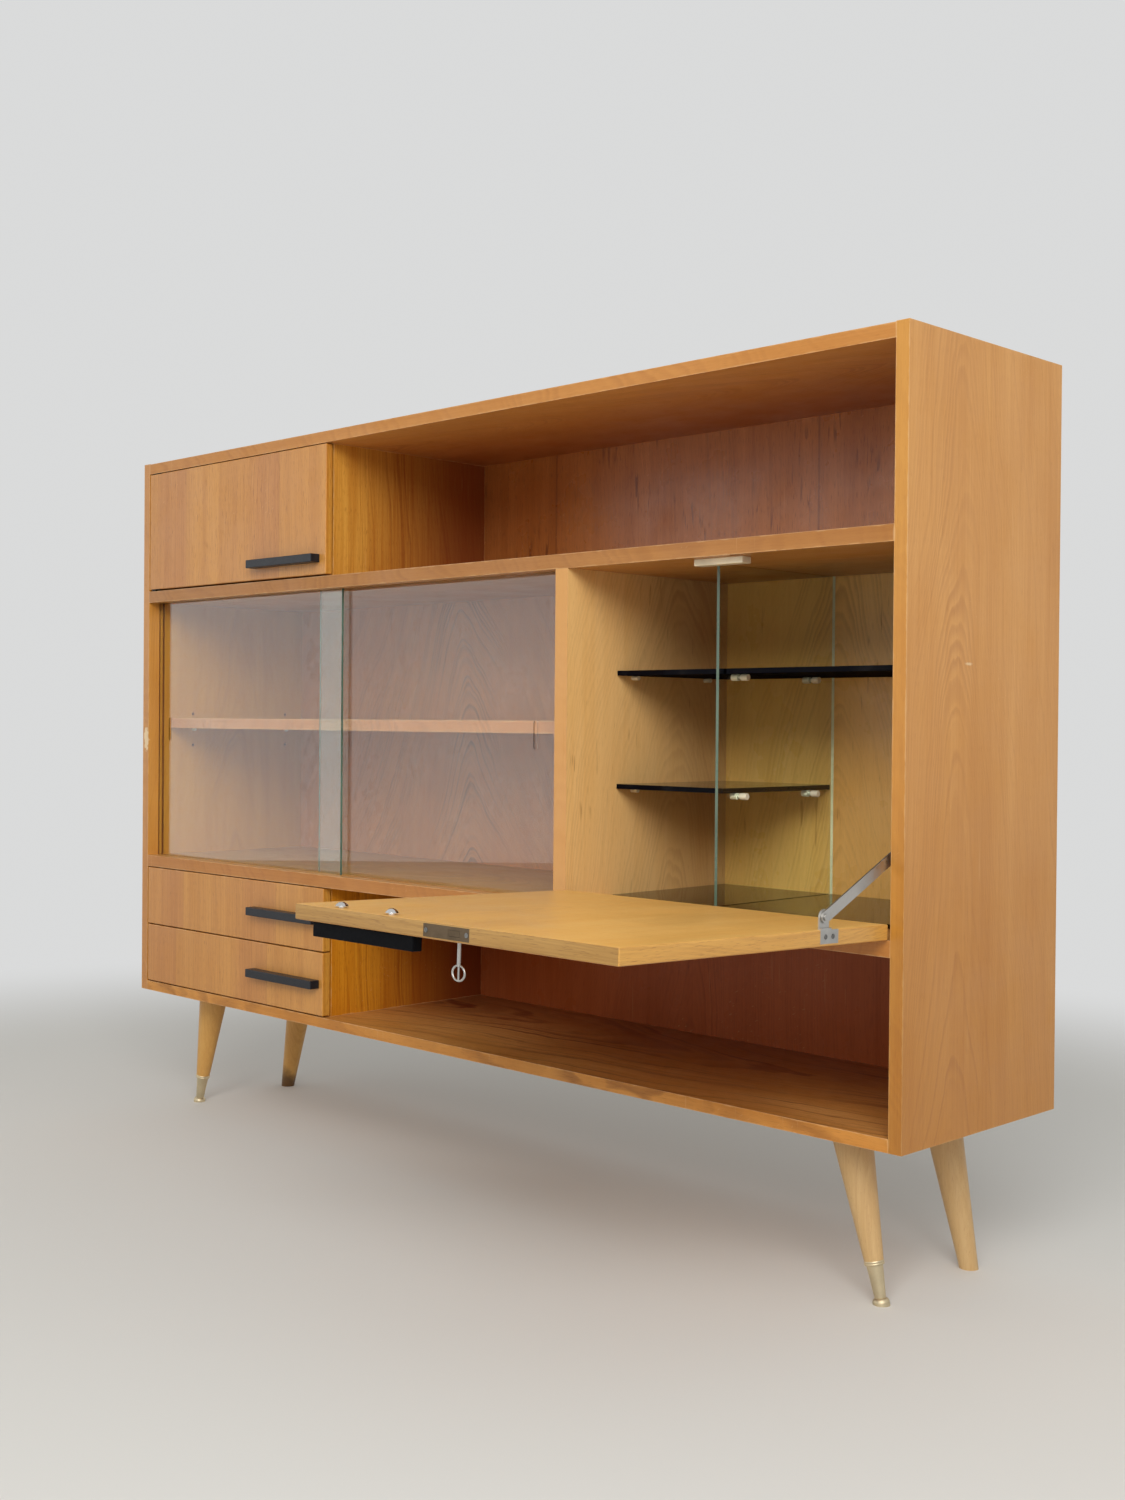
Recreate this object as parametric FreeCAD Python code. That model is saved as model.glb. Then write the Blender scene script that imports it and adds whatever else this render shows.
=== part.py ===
import FreeCAD, Part
import math
import os

from FreeCAD import Vector

# Low bookcase on splayed legs: a cupboard and two drawers on the left, sliding glass doors in the
# middle, a drop-flap bar on the right, and open bays above and below it. Millimetres. The pieces are drawn
# with X from the carcass's left side, Y from its front edges and Z from the floor, then moved to the row
# frame.

# Overall sizes
overall_width = 1800.0
carcass_depth = 387.0
carcass_height = 1057.0
leg_height = 228.5

# Carcass boards
side_thickness = 20.0
top_thickness = 20.0
top_setdown = 1.0
bottom_thickness = 18.0
shelf_thickness = 22.0
divider_thickness = 20.0
bar_divider_thickness = 26.0
back_thickness = 4.0
back_inset = 2.0
back_rebate = 8.0
back_margin = 3.0
back_joint = 1.0

# Bays
drawer_bay_height = 231.0
display_bay_height = 507.5
left_column_width = 600.0
bar_bay_width = 579.5

# Dowels that hold the boards together
dowel_diameter = 8.0
dowel_in_face = 12.0
dowel_in_end = 20.0
dowel_front_inset = 70.0
dowel_rear_inset = 61.0

# Sliding glass doors and their grooves
glass_thickness = 4.0
track_width = 5.0
track_setback = 24.0
track_pitch = 10.0
track_depth_below = 4.0
track_depth_above = 9.0
track_depth_end = 6.0
glass_lift = 5.0
glass_seat_gap = 0.3
glass_end_gap = 0.5
glass_overlap = 38.5
right_glass_open = 35.0
finger_pull_length = 46.0
finger_pull_width = 9.0
finger_pull_depth = 1.4
finger_pull_offset = 46.5

# Wooden shelf behind the glass
display_shelf_thickness = 20.0
display_shelf_height = 256.0
display_shelf_setback = 52.0
shelf_end_gap = 1.0
pin_radius = 3.0
pin_reach = 8.0
pin_depth = 9.0
pin_pitch = 32.0
pin_front_inset = 107.0
pin_rear_inset = 43.0

# Bar fittings
partition_thickness = 5.0
partition_from_right = 364.0
partition_setback = 95.0
partition_groove = 4.0
bar_shelf_thickness = 7.5
bar_shelf_setback = 112.0
bar_shelf_back_gap = 3.0
bar_upper_shelf_height = 347.5
bar_lower_shelf_height = 171.0
floor_plate_thickness = 6.0
floor_plate_setback = 105.0
plate_gap = 0.5
wall_support_radius = 3.5
wall_support_reach = 13.0
wall_support_depth = 8.0
barrel_radius = 5.2
barrel_reach = 13.0
barrel_rounding = 1.5
barrel_peg_radius = 3.0
support_flat = 0.4
support_front_inset = 148.0
support_rear_inset = 57.0
stop_block_length = 88.0
stop_block_width = 20.0
stop_block_height = 10.0
stop_block_rounding = 1.5
stop_block_offset = -15.0

# Cupboard door
door_thickness = 15.0
door_side_gap = 2.0
door_top_gap = 1.5
door_bottom_gap = 3.5
door_lap_gap = 2.0
pivot_inset = 10.0
pivot_setback = 5.5
pivot_radius = 2.5
pivot_length = 9.0
pivot_plate_length = 34.0
pivot_plate_width = 10.0
pivot_plate_thickness = 2.0

# Drawers
drawer_front_thickness = 17.0
drawer_gap = 2.0
drawer_side_thickness = 12.0
drawer_side_height = 85.0
drawer_side_rise = 9.0
drawer_back_thickness = 10.0
drawer_bottom_thickness = 4.0
drawer_bottom_rise = 8.0
drawer_bottom_groove = 5.0
drawer_rear_gap = 16.0
drawer_running_gap = 1.6
runner_thickness = 7.0
runner_height = 14.0
runner_setback = 40.0
runner_rear_gap = 6.0
runner_rise = 34.0
runner_clearance = 0.3

# Bar handles
handle_length = 200.0
handle_height = 15.0
handle_reach = 20.0
handle_rounding = 1.5
handle_bolt_spacing = 100.0
handle_bolt_radius = 2.0
handle_bolt_depth = 12.0
dome_radius = 8.5
dome_height = 5.5
dome_stem_radius = 4.5
dome_stem_height = 2.5
door_handle_right = 17.0
door_handle_up = 28.5
drawer_handle_right = 10.0
flap_handle_left = 30.0
flap_handle_down = 14.5

# Drop flap, drawn shut and then opened for the rest position
flap_thickness = 20.5
flap_height = 504.0
flap_side_gap = 2.5
flap_bottom_gap = 1.0
flap_open_angle = 88.3
front_rounding = 2.0

# Flap hinges
hinge_length = 60.0
hinge_inset = 70.0
knuckle_radius = 2.5
knuckle_cut = 0.4
hinge_pin_radius = 1.5
leaf_thickness = 1.5
leaf_depth = 18.0
leaf_let_in = 0.2

# Lock and key
lock_plate_length = 82.0
lock_plate_width = 16.0
lock_plate_thickness = 1.5
lock_offset = 10.0
lock_case_length = 60.0
lock_case_depth = 46.0
lock_case_width = 12.0
lock_wall = 1.4
lock_bolt_length = 20.0
lock_bolt_width = 7.0
lock_bolt_depth = 30.0
lock_bolt_side = 14.0
lock_throw = 8.0
keyhole_drop = 32.0
keyhole_side = -11.0
key_shank_radius = 2.4
key_shank_length = 33.0
key_bit_length = 5.5
key_bit_height = 6.0
key_bit_thickness = 2.0
key_bow_width = 25.0
key_bow_height = 21.0
key_bow_wire = 2.6
keeper_clearance = 1.5
keeper_depth = 12.0

# Flap stay
stay_pivot_height = 133.5
stay_pivot_setback = 35.5
stay_guide_angle = 24.0
stay_arm_width = 15.0
stay_arm_thickness = 2.0
stay_arm_inset = 1.5
stay_arm_stop = 6.0
stay_rivet_radius = 2.5
stay_rivet_head_radius = 4.5
stay_rivet_head = 1.5
bracket_thickness = 2.0
bracket_length = 37.0
bracket_drop = 24.7
bracket_margin = 3.3
bracket_ear_radius = 10.0
guide_size = 20.0
guide_reach = 10.0
guide_gap = 0.5
guide_stud_radius = 3.0
guide_stud_depth = 10.0
guide_stud_grip = 2.4

# Screws in the flap
screw_radius = 1.8
screw_head_radius = 3.2
screw_head_height = 1.4
screw_length = 14.0
lock_screw_inset = 5.0
bracket_screw_inset = 11.0

# Legs
leg_foot_inset = 83.5
leg_side_splay = 51.8
leg_front_inset = 84.0
leg_top_radius = 28.5
leg_end_radius = 13.2
ferrule_length = 58.0
ferrule_bead = 3.0
ferrule_bead_proud = 0.5
ferrule_cup_radius = 11.3
ferrule_waist_radius = 7.6
ferrule_waist = 9.0
ferrule_foot_radius = 11.5
ferrule_foot = 3.0
ferrule_bulge = 0.8
ferrule_peg_radius = 6.0
ferrule_peg_length = 20.0
leg_bolt_radius = 4.0
leg_bolt_in_leg = 35.0
leg_bolt_in_board = 14.0

# Clearances
running_clearance = 0.05
drill_clearance = 0.1
sliding_clearance = 0.3

# Heights above the floor
bottom_top = leg_height + bottom_thickness
lower_under = bottom_top + drawer_bay_height
lower_top = lower_under + shelf_thickness
upper_under = lower_top + display_bay_height
upper_top = upper_under + shelf_thickness
side_top = leg_height + carcass_height
top_top = side_top - top_setdown
top_under = top_top - top_thickness

# Places across the width and the depth
bay_left = side_thickness
bay_right = overall_width - side_thickness
column_right = left_column_width
column_left = column_right - divider_thickness
bar_left = bay_right - bar_bay_width
display_right = bar_left - bar_divider_thickness
back_face = carcass_depth - back_inset - back_thickness
partition_x = bay_right - partition_from_right
flap_left = bar_left + flap_side_gap
flap_right = bay_right - flap_side_gap
flap_bottom = lower_top + flap_bottom_gap
flap_top = flap_bottom + flap_height
flap_middle = (flap_left + flap_right) / 2

# The row frame's origin lies on the floor, midway between the open flap's front edge and the back edges
flap_reach = (flap_bottom_gap + flap_height) * math.sin(math.radians(flap_open_angle))
row_shift = Vector(-overall_width / 2, (flap_reach - carcass_depth) / 2, 0)

along_x = Vector(1, 0, 0)
along_y = Vector(0, 1, 0)
along_z = Vector(0, 0, 1)
overshoot = 1.0

os.makedirs("parts", exist_ok=True)


def block(x0, x1, y0, y1, z0, z1):
    """A box between two corners."""
    return Part.makeBox(x1 - x0, y1 - y0, z1 - z0, Vector(x0, y0, z0))


def rod(x, y, z, direction, radius, length):
    """A round bar from a point along a direction."""
    return Part.makeCylinder(radius, length, Vector(x, y, z), direction)


def carve(body, tools):
    """A body with tools cut away, as one solid."""
    return body.cut(tools).Solids[0]


def join(first, *others):
    """Several overlapping shapes made one solid."""
    return first.fuse(list(others)).removeSplitter().Solids[0]


def rounded(shape, radius):
    """A block with every edge rounded."""
    return shape.makeFillet(radius, shape.Edges)


def save(name, *solids):
    """Writes one node, moved to the row frame."""
    shape = Part.makeCompound(list(solids)) if len(solids) > 1 else solids[0].copy()
    shape.translate(row_shift)
    shape.exportStep("parts/" + name + ".step")


def opened(shape):
    """A piece of the flap, drawn shut, turned down to the rest position about the hinge line."""
    turned = shape.copy()
    turned.rotate(Vector(0, 0, lower_top), along_x, flap_open_angle)
    return turned


# Dowels: each joint is a face, an end and the places along the depth
def side_dowel(x_face, direction, z, y, radius, slack):
    """A dowel, or its hole, through the joint of a side board and the end of a lying board."""
    start = Vector(x_face, y, z) - direction * (dowel_in_face + slack)
    return Part.makeCylinder(radius + slack, dowel_in_face + dowel_in_end + 2 * slack, start, direction)


def upright_dowel(x, z_face, direction, y, radius, slack):
    """A dowel, or its hole, through the joint of a lying board and the end of an upright."""
    start = Vector(x, y, z_face) - direction * (dowel_in_face + slack)
    return Part.makeCylinder(radius + slack, dowel_in_face + dowel_in_end + 2 * slack, start, direction)


board_levels = {
    "bottom": (leg_height + bottom_top) / 2,
    "lower": (lower_under + lower_top) / 2,
    "upper": (upper_under + upper_top) / 2,
    "top": (top_under + top_top) / 2,
}
column_middle = (column_left + column_right) / 2
bar_divider_middle = (display_right + bar_left) / 2
upright_joints = {
    "cupboard": (column_middle, upper_top, top_under),
    "drawer": (column_middle, bottom_top, lower_under),
    "bar": (bar_divider_middle, lower_top, upper_under),
}
dowel_radius = dowel_diameter / 2
dowel_rear = back_face - dowel_rear_inset
dowel_rows = [dowel_front_inset, (dowel_front_inset + dowel_rear) / 2, dowel_rear]


def level_dowels(level, slack):
    """The dowels at both ends of a lying board."""
    z = board_levels[level]
    left = [side_dowel(bay_left, along_x, z, y, dowel_radius, slack) for y in dowel_rows]
    right = [side_dowel(bay_right, along_x * -1, z, y, dowel_radius, slack) for y in dowel_rows]
    return left + right


def upright_dowels(name, slack):
    """The dowels at both ends of an upright."""
    x, z_low, z_high = upright_joints[name]
    low = [upright_dowel(x, z_low, along_z, y, dowel_radius, slack) for y in dowel_rows]
    high = [upright_dowel(x, z_high, along_z * -1, y, dowel_radius, slack) for y in dowel_rows]
    return low + high


dowel_holes = [hole for level in board_levels for hole in level_dowels(level, drill_clearance)]
upright_holes = {name: upright_dowels(name, drill_clearance) for name in upright_joints}

# Glass tracks
track_fronts = [track_setback, track_setback + track_pitch]
glass_fronts = [front + (track_width - glass_thickness) / 2 for front in track_fronts]
track_left = bay_left - track_depth_end
track_right = display_right + track_depth_end
glass_width = (track_right - track_left - 2 * glass_end_gap + glass_overlap) / 2


def track_cuts():
    """Two grooves round the glass opening, cut as deep as each board needs."""
    z_low = lower_top - track_depth_below
    z_high = upper_under + track_depth_above
    return [block(track_left, track_right, y, y + track_width, z_low, z_high) for y in track_fronts]


# Shelf pins
pin_z = lower_top + display_shelf_height - pin_radius
pin_columns = [pin_front_inset, back_face - pin_rear_inset]


def pin_holes(x_face, direction):
    """Rows of pin holes in a wall, one row in use and one spare above and below."""
    start = x_face - direction.x * (pin_depth + drill_clearance)
    hole_radius = pin_radius + drill_clearance
    return [
        rod(start, y, pin_z + row * pin_pitch, direction, hole_radius, pin_depth + overshoot)
        for y in pin_columns
        for row in (-1, 0, 1)
    ]


# Bar shelves and their supports
partition_left = partition_x - partition_thickness / 2
partition_right = partition_x + partition_thickness / 2
support_rows = [support_front_inset, back_face - support_rear_inset]
shelf_levels = {"upper": lower_top + bar_upper_shelf_height, "lower": lower_top + bar_lower_shelf_height}


def under_shelf(level, radius):
    """The height of a round support's axis under a shelf, with a flat ground on its top."""
    return shelf_levels[level] - radius + support_flat


def support_holes(x, length, levels, radius, hole_radius):
    """The holes of round supports in a wall, from a point along X."""
    return [
        rod(x, y, under_shelf(level, radius), along_x, hole_radius + drill_clearance, length)
        for y in support_rows
        for level in levels
    ]


# Stay: the arm's pivot and the guide are equally far from the hinge line, so the arm turns half as fast as
# the flap
stay_radius = math.hypot(stay_pivot_height, stay_pivot_setback)
guide_y = stay_radius * math.sin(math.radians(stay_guide_angle))
guide_z = lower_top + stay_radius * math.cos(math.radians(stay_guide_angle))
open_turn = math.radians(flap_open_angle)
pivot_y = stay_pivot_setback * math.cos(open_turn) - stay_pivot_height * math.sin(open_turn)
pivot_z = lower_top + stay_pivot_setback * math.sin(open_turn) + stay_pivot_height * math.cos(open_turn)
stay_rise = math.degrees(math.atan2(guide_z - pivot_z, guide_y - pivot_y))
stay_span = math.hypot(guide_z - pivot_z, guide_y - pivot_y)
bracket_left = flap_right - bracket_thickness
arm_right = flap_right - stay_arm_inset
arm_left = arm_right - stay_arm_thickness
ear_right = arm_left - sliding_clearance
ear_left = ear_right - bracket_thickness
guide_right = bay_right - guide_gap
guide_left = guide_right - guide_reach


# Carcass boards
def make_side(x0, x1, inner, direction, tools):
    """A side board with its rebate for the back, dowel holes and the holes of what it carries."""
    board = block(x0, x1, 0, carcass_depth, leg_height, side_top)
    rebate_x = sorted((inner, inner - direction * back_rebate))
    rebate = block(rebate_x[0], rebate_x[1], back_face, carcass_depth, leg_height, side_top)
    return carve(board, [rebate] + dowel_holes + tools)


guide_stud_hole = rod(
    bay_right,
    guide_y,
    guide_z,
    along_x,
    guide_stud_radius + drill_clearance,
    guide_stud_depth + drill_clearance,
)
support_hole_depth = wall_support_depth + drill_clearance + overshoot
right_peg_holes = support_holes(
    bay_right - overshoot, support_hole_depth, ["upper"], wall_support_radius, wall_support_radius
)
save("side_panel_left", make_side(0, bay_left, bay_left, 1, track_cuts() + pin_holes(bay_left, along_x)))
save(
    "side_panel_right",
    make_side(bay_right, overall_width, bay_right, -1, [guide_stud_hole] + right_peg_holes),
)

pivot_x = bay_left + door_side_gap + pivot_inset
pivot_plate_right = pivot_x + pivot_plate_length - pivot_plate_width / 2
pivot_plate_left = pivot_x - pivot_plate_width / 2
pivot_plate_front = pivot_setback - pivot_plate_width / 2


def pivot_plate(z0, z1):
    """A let-in pivot plate, or its recess, between two heights."""
    return block(
        pivot_plate_left, pivot_plate_right, pivot_plate_front, pivot_plate_front + pivot_plate_width, z0, z1
    )


top_board = block(bay_left, bay_right, 0, back_face, top_under, top_top)
top_plate_recess = pivot_plate(top_under, top_under + pivot_plate_thickness)
save("top_panel", carve(top_board, [top_plate_recess] + dowel_holes + upright_holes["cupboard"]))


# Legs: the axis runs from the foot to the top, leaning in under the carcass
leg_lean = math.hypot(leg_side_splay, leg_height)


class Leg:
    """One leg's axis, from its side and its place along the depth."""

    def __init__(self, side, y):
        foot_x = leg_foot_inset if side < 0 else overall_width - leg_foot_inset
        self.foot = Vector(foot_x, y, 0)
        self.direction = Vector(-side * leg_side_splay, 0, leg_height) * (1 / leg_lean)

    def at(self, distance):
        """The point this far from the foot along the axis."""
        return self.foot + self.direction * distance

    def bar(self, radius, start, end):
        """A round bar along the axis."""
        return Part.makeCylinder(radius, end - start, self.at(start), self.direction)

    def taper(self, radius_start, radius_end, start, end):
        """A tapered bar along the axis."""
        return Part.makeCone(radius_start, radius_end, end - start, self.at(start), self.direction)

    def bolt(self, slack):
        """The bolt that holds the leg, or its hole."""
        start = leg_lean - leg_bolt_in_leg - slack
        return self.bar(leg_bolt_radius + slack, start, leg_lean + leg_bolt_in_board + slack)


leg_rear_y = carcass_depth - leg_front_inset
legs = {
    "front_left": Leg(-1, leg_front_inset),
    "front_right": Leg(1, leg_front_inset),
    "rear_left": Leg(-1, leg_rear_y),
    "rear_right": Leg(1, leg_rear_y),
}
leg_bolt_holes = [leg.bolt(drill_clearance) for leg in legs.values()]
bottom_board = block(bay_left, bay_right, 0, back_face, leg_height, bottom_top)
save("bottom_panel", carve(bottom_board, dowel_holes + upright_holes["drawer"] + leg_bolt_holes))

# Upper shelf: glass tracks, the bar partition's groove, the lock's keeper and the door's lower pivot plate
lock_x = flap_middle + lock_offset
lock_y = flap_thickness / 2
bolt_x = lock_x + lock_bolt_side
keyhole_x = lock_x + keyhole_side
keyhole_z = flap_top - keyhole_drop


def lock_bolt_block(z0, z1, slack):
    """The lock's bolt, or the space round it, between two heights with the flap shut."""
    half_length = lock_bolt_length / 2 + slack
    half_width = lock_bolt_width / 2 + slack
    return block(
        bolt_x - half_length, bolt_x + half_length, lock_y - half_width, lock_y + half_width, z0, z1
    )


partition_slot = block(
    partition_left - drill_clearance,
    partition_right + drill_clearance,
    partition_setback - drill_clearance,
    back_face,
    upper_under,
    upper_under + partition_groove,
)
keeper = lock_bolt_block(upper_under, upper_under + keeper_depth, keeper_clearance)
lower_plate_recess = pivot_plate(upper_top - pivot_plate_thickness, upper_top)
upper_board = block(bay_left, bay_right, 0, back_face, upper_under, upper_top)
save(
    "upper_shelf",
    carve(
        upper_board,
        track_cuts()
        + [partition_slot, keeper, lower_plate_recess]
        + dowel_holes
        + upright_holes["cupboard"]
        + upright_holes["bar"],
    ),
)

# Lower shelf: glass tracks and the flap hinges' leaves
hinge_starts = [flap_left + hinge_inset, flap_right - hinge_inset - hinge_length]


def hinge_round(x0, x1, radius):
    """A round bar on the flap's hinge line."""
    return rod(x0, 0, lower_top, along_x, radius, x1 - x0)


def leaf_plate(x0, x1, z0, z1):
    """A flat hinge leaf behind the hinge line."""
    return block(x0, x1, 0, leaf_depth, z0, z1)


shelf_leaf_top = lower_top - leaf_let_in
shelf_leaf_under = shelf_leaf_top - leaf_thickness
flap_leaf_under = flap_bottom - leaf_let_in
flap_leaf_top = flap_leaf_under + leaf_thickness
knuckle_cuts = [
    hinge_round(x, x + hinge_length, knuckle_radius + knuckle_cut) for x in hinge_starts
]
shelf_leaf_recesses = [
    block(x, x + hinge_length, 0, leaf_depth, shelf_leaf_under, lower_top) for x in hinge_starts
]
lower_board = block(bay_left, bay_right, 0, back_face, lower_under, lower_top)
save(
    "lower_shelf",
    carve(
        lower_board,
        track_cuts() + knuckle_cuts + shelf_leaf_recesses + dowel_holes + upright_holes["drawer"]
        + upright_holes["bar"],
    ),
)

# Uprights
cupboard_front = door_thickness + door_lap_gap
drawer_front_back = drawer_front_thickness + door_lap_gap
cupboard_board = block(column_left, column_right, cupboard_front, back_face, upper_top, top_under)
drawer_board = block(column_left, column_right, drawer_front_back, back_face, bottom_top, lower_under)
bar_board = block(display_right, bar_left, 0, back_face, lower_top, upper_under)
left_peg_holes = support_holes(
    bar_left - support_hole_depth + overshoot,
    support_hole_depth,
    shelf_levels,
    wall_support_radius,
    wall_support_radius,
)
save("cupboard_divider", carve(cupboard_board, upright_holes["cupboard"]))
save("drawer_divider", carve(drawer_board, upright_holes["drawer"]))
save(
    "bar_divider",
    carve(
        bar_board,
        track_cuts() + pin_holes(display_right, along_x * -1) + left_peg_holes + upright_holes["bar"],
    ),
)
dowels = [dowel for level in board_levels for dowel in level_dowels(level, 0)]
dowels += [dowel for name in upright_joints for dowel in upright_dowels(name, 0)]
save("carcass_dowels", *dowels)

# Backs
back_left = bay_left - back_rebate
back_right = bay_right + back_rebate


def back_board(x0, x1, z0, z1):
    """A thin back board in the sides' rebates."""
    return block(x0, x1, back_face, back_face + back_thickness, z0, z1)


half_joint = back_joint / 2
lower_split = board_levels["lower"]
upper_split = board_levels["upper"]
middle_low = lower_split + half_joint
middle_high = upper_split - half_joint
save(
    "back_panel_upper",
    back_board(back_left, back_right, upper_split + half_joint, top_top - back_margin),
)
save(
    "back_panel_display",
    back_board(back_left, bar_divider_middle - half_joint, middle_low, middle_high),
)
save(
    "back_panel_bar",
    back_board(bar_divider_middle + half_joint, back_right, middle_low, middle_high),
)
save(
    "back_panel_lower",
    back_board(back_left, back_right, leg_height + back_margin, lower_split - half_joint),
)

# Shelf behind the glass and its pins
display_shelf_z = lower_top + display_shelf_height
save(
    "display_shelf",
    block(
        bay_left + shelf_end_gap,
        display_right - shelf_end_gap,
        display_shelf_setback,
        back_face - shelf_end_gap,
        display_shelf_z,
        display_shelf_z + display_shelf_thickness,
    ),
)
shelf_pins = [
    rod(x, y, pin_z, along_x, pin_radius, pin_depth + pin_reach)
    for x in (bay_left - pin_depth, display_right - pin_reach)
    for y in pin_columns
]
save("display_shelf_pins", *shelf_pins)

# Glass doors
glass_bottom = lower_top - track_depth_below + glass_seat_gap
glass_top = upper_under + track_depth_above - glass_lift
glass_middle_z = (glass_bottom + glass_top) / 2


def finger_pull(x, y):
    """A ground finger recess in the front face of a pane."""
    straight = finger_pull_length - finger_pull_width
    radius = finger_pull_width / 2
    low = glass_middle_z - straight / 2
    slot = block(x - radius, x + radius, y, y + finger_pull_depth, low, low + straight)
    ends = [rod(x, y, low + lift, along_y, radius, finger_pull_depth) for lift in (0, straight)]
    return join(slot, *ends)


def pane(x0, track, pull_x):
    """A sliding pane in one of the two tracks."""
    y = glass_fronts[track]
    sheet = block(x0, x0 + glass_width, y, y + glass_thickness, glass_bottom, glass_top)
    return carve(sheet, [finger_pull(pull_x, y)])


left_glass_x = track_left + glass_end_gap
right_glass_x = track_right - glass_end_gap - right_glass_open - glass_width
save("glass_door_left", pane(left_glass_x, 0, left_glass_x + finger_pull_offset))
save("glass_door_right", pane(right_glass_x, 1, right_glass_x + glass_width - finger_pull_offset))

# Bar: glass partition, black glass shelves and floor plates, plastic supports
partition_sheet = block(
    partition_left, partition_right, partition_setback, back_face, lower_top, upper_under + partition_groove
)
partition_holes = support_holes(
    partition_left - overshoot,
    partition_thickness + 2 * overshoot,
    shelf_levels,
    barrel_radius,
    barrel_peg_radius,
)
save("bar_glass_partition", carve(partition_sheet, partition_holes))


def glass_plate(x0, x1, y0, z, thickness):
    """A flat glass plate between two walls, with a gap at each side."""
    return block(x0 + plate_gap, x1 - plate_gap, y0, back_face - bar_shelf_back_gap, z, z + thickness)


save(
    "bar_glass_shelves",
    glass_plate(bar_left, partition_left, bar_shelf_setback, shelf_levels["upper"], bar_shelf_thickness),
    glass_plate(partition_right, bay_right, bar_shelf_setback, shelf_levels["upper"], bar_shelf_thickness),
    glass_plate(bar_left, partition_left, bar_shelf_setback, shelf_levels["lower"], bar_shelf_thickness),
)
save(
    "bar_floor_plates",
    glass_plate(bar_left, partition_left, floor_plate_setback, lower_top, floor_plate_thickness),
    glass_plate(partition_right, bay_right, floor_plate_setback, lower_top, floor_plate_thickness),
)


def seated(shape, level):
    """A support cut flat where the shelf lies on it."""
    above = block(0, overall_width, 0, carcass_depth, shelf_levels[level], side_top)
    return carve(shape, [above])


def wall_support(x, y, level):
    """A round peg in a wall, from a point along X."""
    length = wall_support_depth + wall_support_reach
    z = under_shelf(level, wall_support_radius)
    return seated(rod(x, y, z, along_x, wall_support_radius, length), level)


def barrel(x, y, level):
    """One end of a support on the glass partition, with a rounded rim."""
    z = under_shelf(level, barrel_radius)
    return rounded(rod(x, y, z, along_x, barrel_radius, barrel_reach), barrel_rounding)


def partition_support(y, level):
    """A support through the glass partition: an end on each side and the peg between them."""
    peg = rod(
        partition_left - barrel_rounding,
        y,
        under_shelf(level, barrel_radius),
        along_x,
        barrel_peg_radius,
        partition_thickness + 2 * barrel_rounding,
    )
    ends = join(barrel(partition_left - barrel_reach, y, level), peg, barrel(partition_right, y, level))
    return seated(ends, level)


supports = []
for y in support_rows:
    for level in shelf_levels:
        supports.append(wall_support(bar_left - wall_support_depth, y, level))
        supports.append(partition_support(y, level))
    supports.append(wall_support(bay_right - wall_support_reach, y, "upper"))
save("bar_shelf_supports", *supports)

stop_front = flap_thickness + sliding_clearance
stop_middle = flap_middle + stop_block_offset
save(
    "flap_stop_block",
    rounded(
        block(
            stop_middle - stop_block_length / 2,
            stop_middle + stop_block_length / 2,
            stop_front,
            stop_front + stop_block_width,
            upper_under - stop_block_height,
            upper_under,
        ),
        stop_block_rounding,
    ),
)


# Handles: a plain bar held by two bolts whose domed heads stand on the inside
def handle_bolt(x, z, thickness, slack):
    """A bolt's shank, or its hole, from a panel's back face into the handle."""
    length = thickness + handle_bolt_depth + slack
    return rod(x, -handle_bolt_depth - slack, z, along_y, handle_bolt_radius + slack, length)


def domed_head(x, y, z):
    """A domed bolt head on its stem, standing on a panel's back face."""
    stem = rod(x, y, z, along_y, dome_stem_radius, dome_stem_height)
    ball_radius = (dome_radius ** 2 + dome_height ** 2) / (2 * dome_height)
    centre = Vector(x, y + dome_stem_height + dome_height - ball_radius, z)
    rim_y = y + dome_stem_height
    cap = Part.makeSphere(ball_radius, centre).common(rod(x, rim_y, z, along_y, dome_radius, dome_height))
    return stem.fuse(cap)


def bolt_places(x):
    """The two bolts' places along a handle."""
    return [x - handle_bolt_spacing / 2, x + handle_bolt_spacing / 2]


def make_handle(x, z):
    """A bar handle centred at a place on a front."""
    half_length = handle_length / 2
    half_height = handle_height / 2
    bar = block(x - half_length, x + half_length, -handle_reach, 0, z - half_height, z + half_height)
    holes = [handle_bolt(place, z, 0, drill_clearance) for place in bolt_places(x)]
    return carve(rounded(bar, handle_rounding), holes)


def make_bolts(x, z, thickness):
    """A handle's two bolts with their heads."""
    return [
        join(handle_bolt(place, z, thickness, 0), domed_head(place, thickness, z))
        for place in bolt_places(x)
    ]


def bolt_holes(x, z, thickness):
    """The holes of a handle's bolts in a front."""
    return [handle_bolt(place, z, thickness + overshoot, drill_clearance) for place in bolt_places(x)]


# Cupboard door on let-in pivots
door_left = bay_left + door_side_gap
door_bottom = upper_top + door_bottom_gap
door_top = top_under - door_top_gap
door_handle_x = column_right - door_handle_right - handle_length / 2
door_handle_z = door_bottom + door_handle_up
door_block = block(door_left, column_right, 0, door_thickness, door_bottom, door_top)
door_blank = rounded(door_block, front_rounding)
socket_plates = [
    pivot_plate(door_bottom, door_bottom + pivot_plate_thickness),
    pivot_plate(door_top - pivot_plate_thickness, door_top),
]
pivot_bores = [
    rod(pivot_x, pivot_setback, z, along_z, pivot_radius + running_clearance, pivot_length)
    for z in (door_bottom, door_top - pivot_length)
]
door_bolt_holes = bolt_holes(door_handle_x, door_handle_z, door_thickness)
save("door_panel", carve(door_blank, socket_plates + pivot_bores + door_bolt_holes))
save("door_pivot_sockets", *[carve(plate, pivot_bores) for plate in socket_plates])
save("door_handle", make_handle(door_handle_x, door_handle_z))
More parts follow.
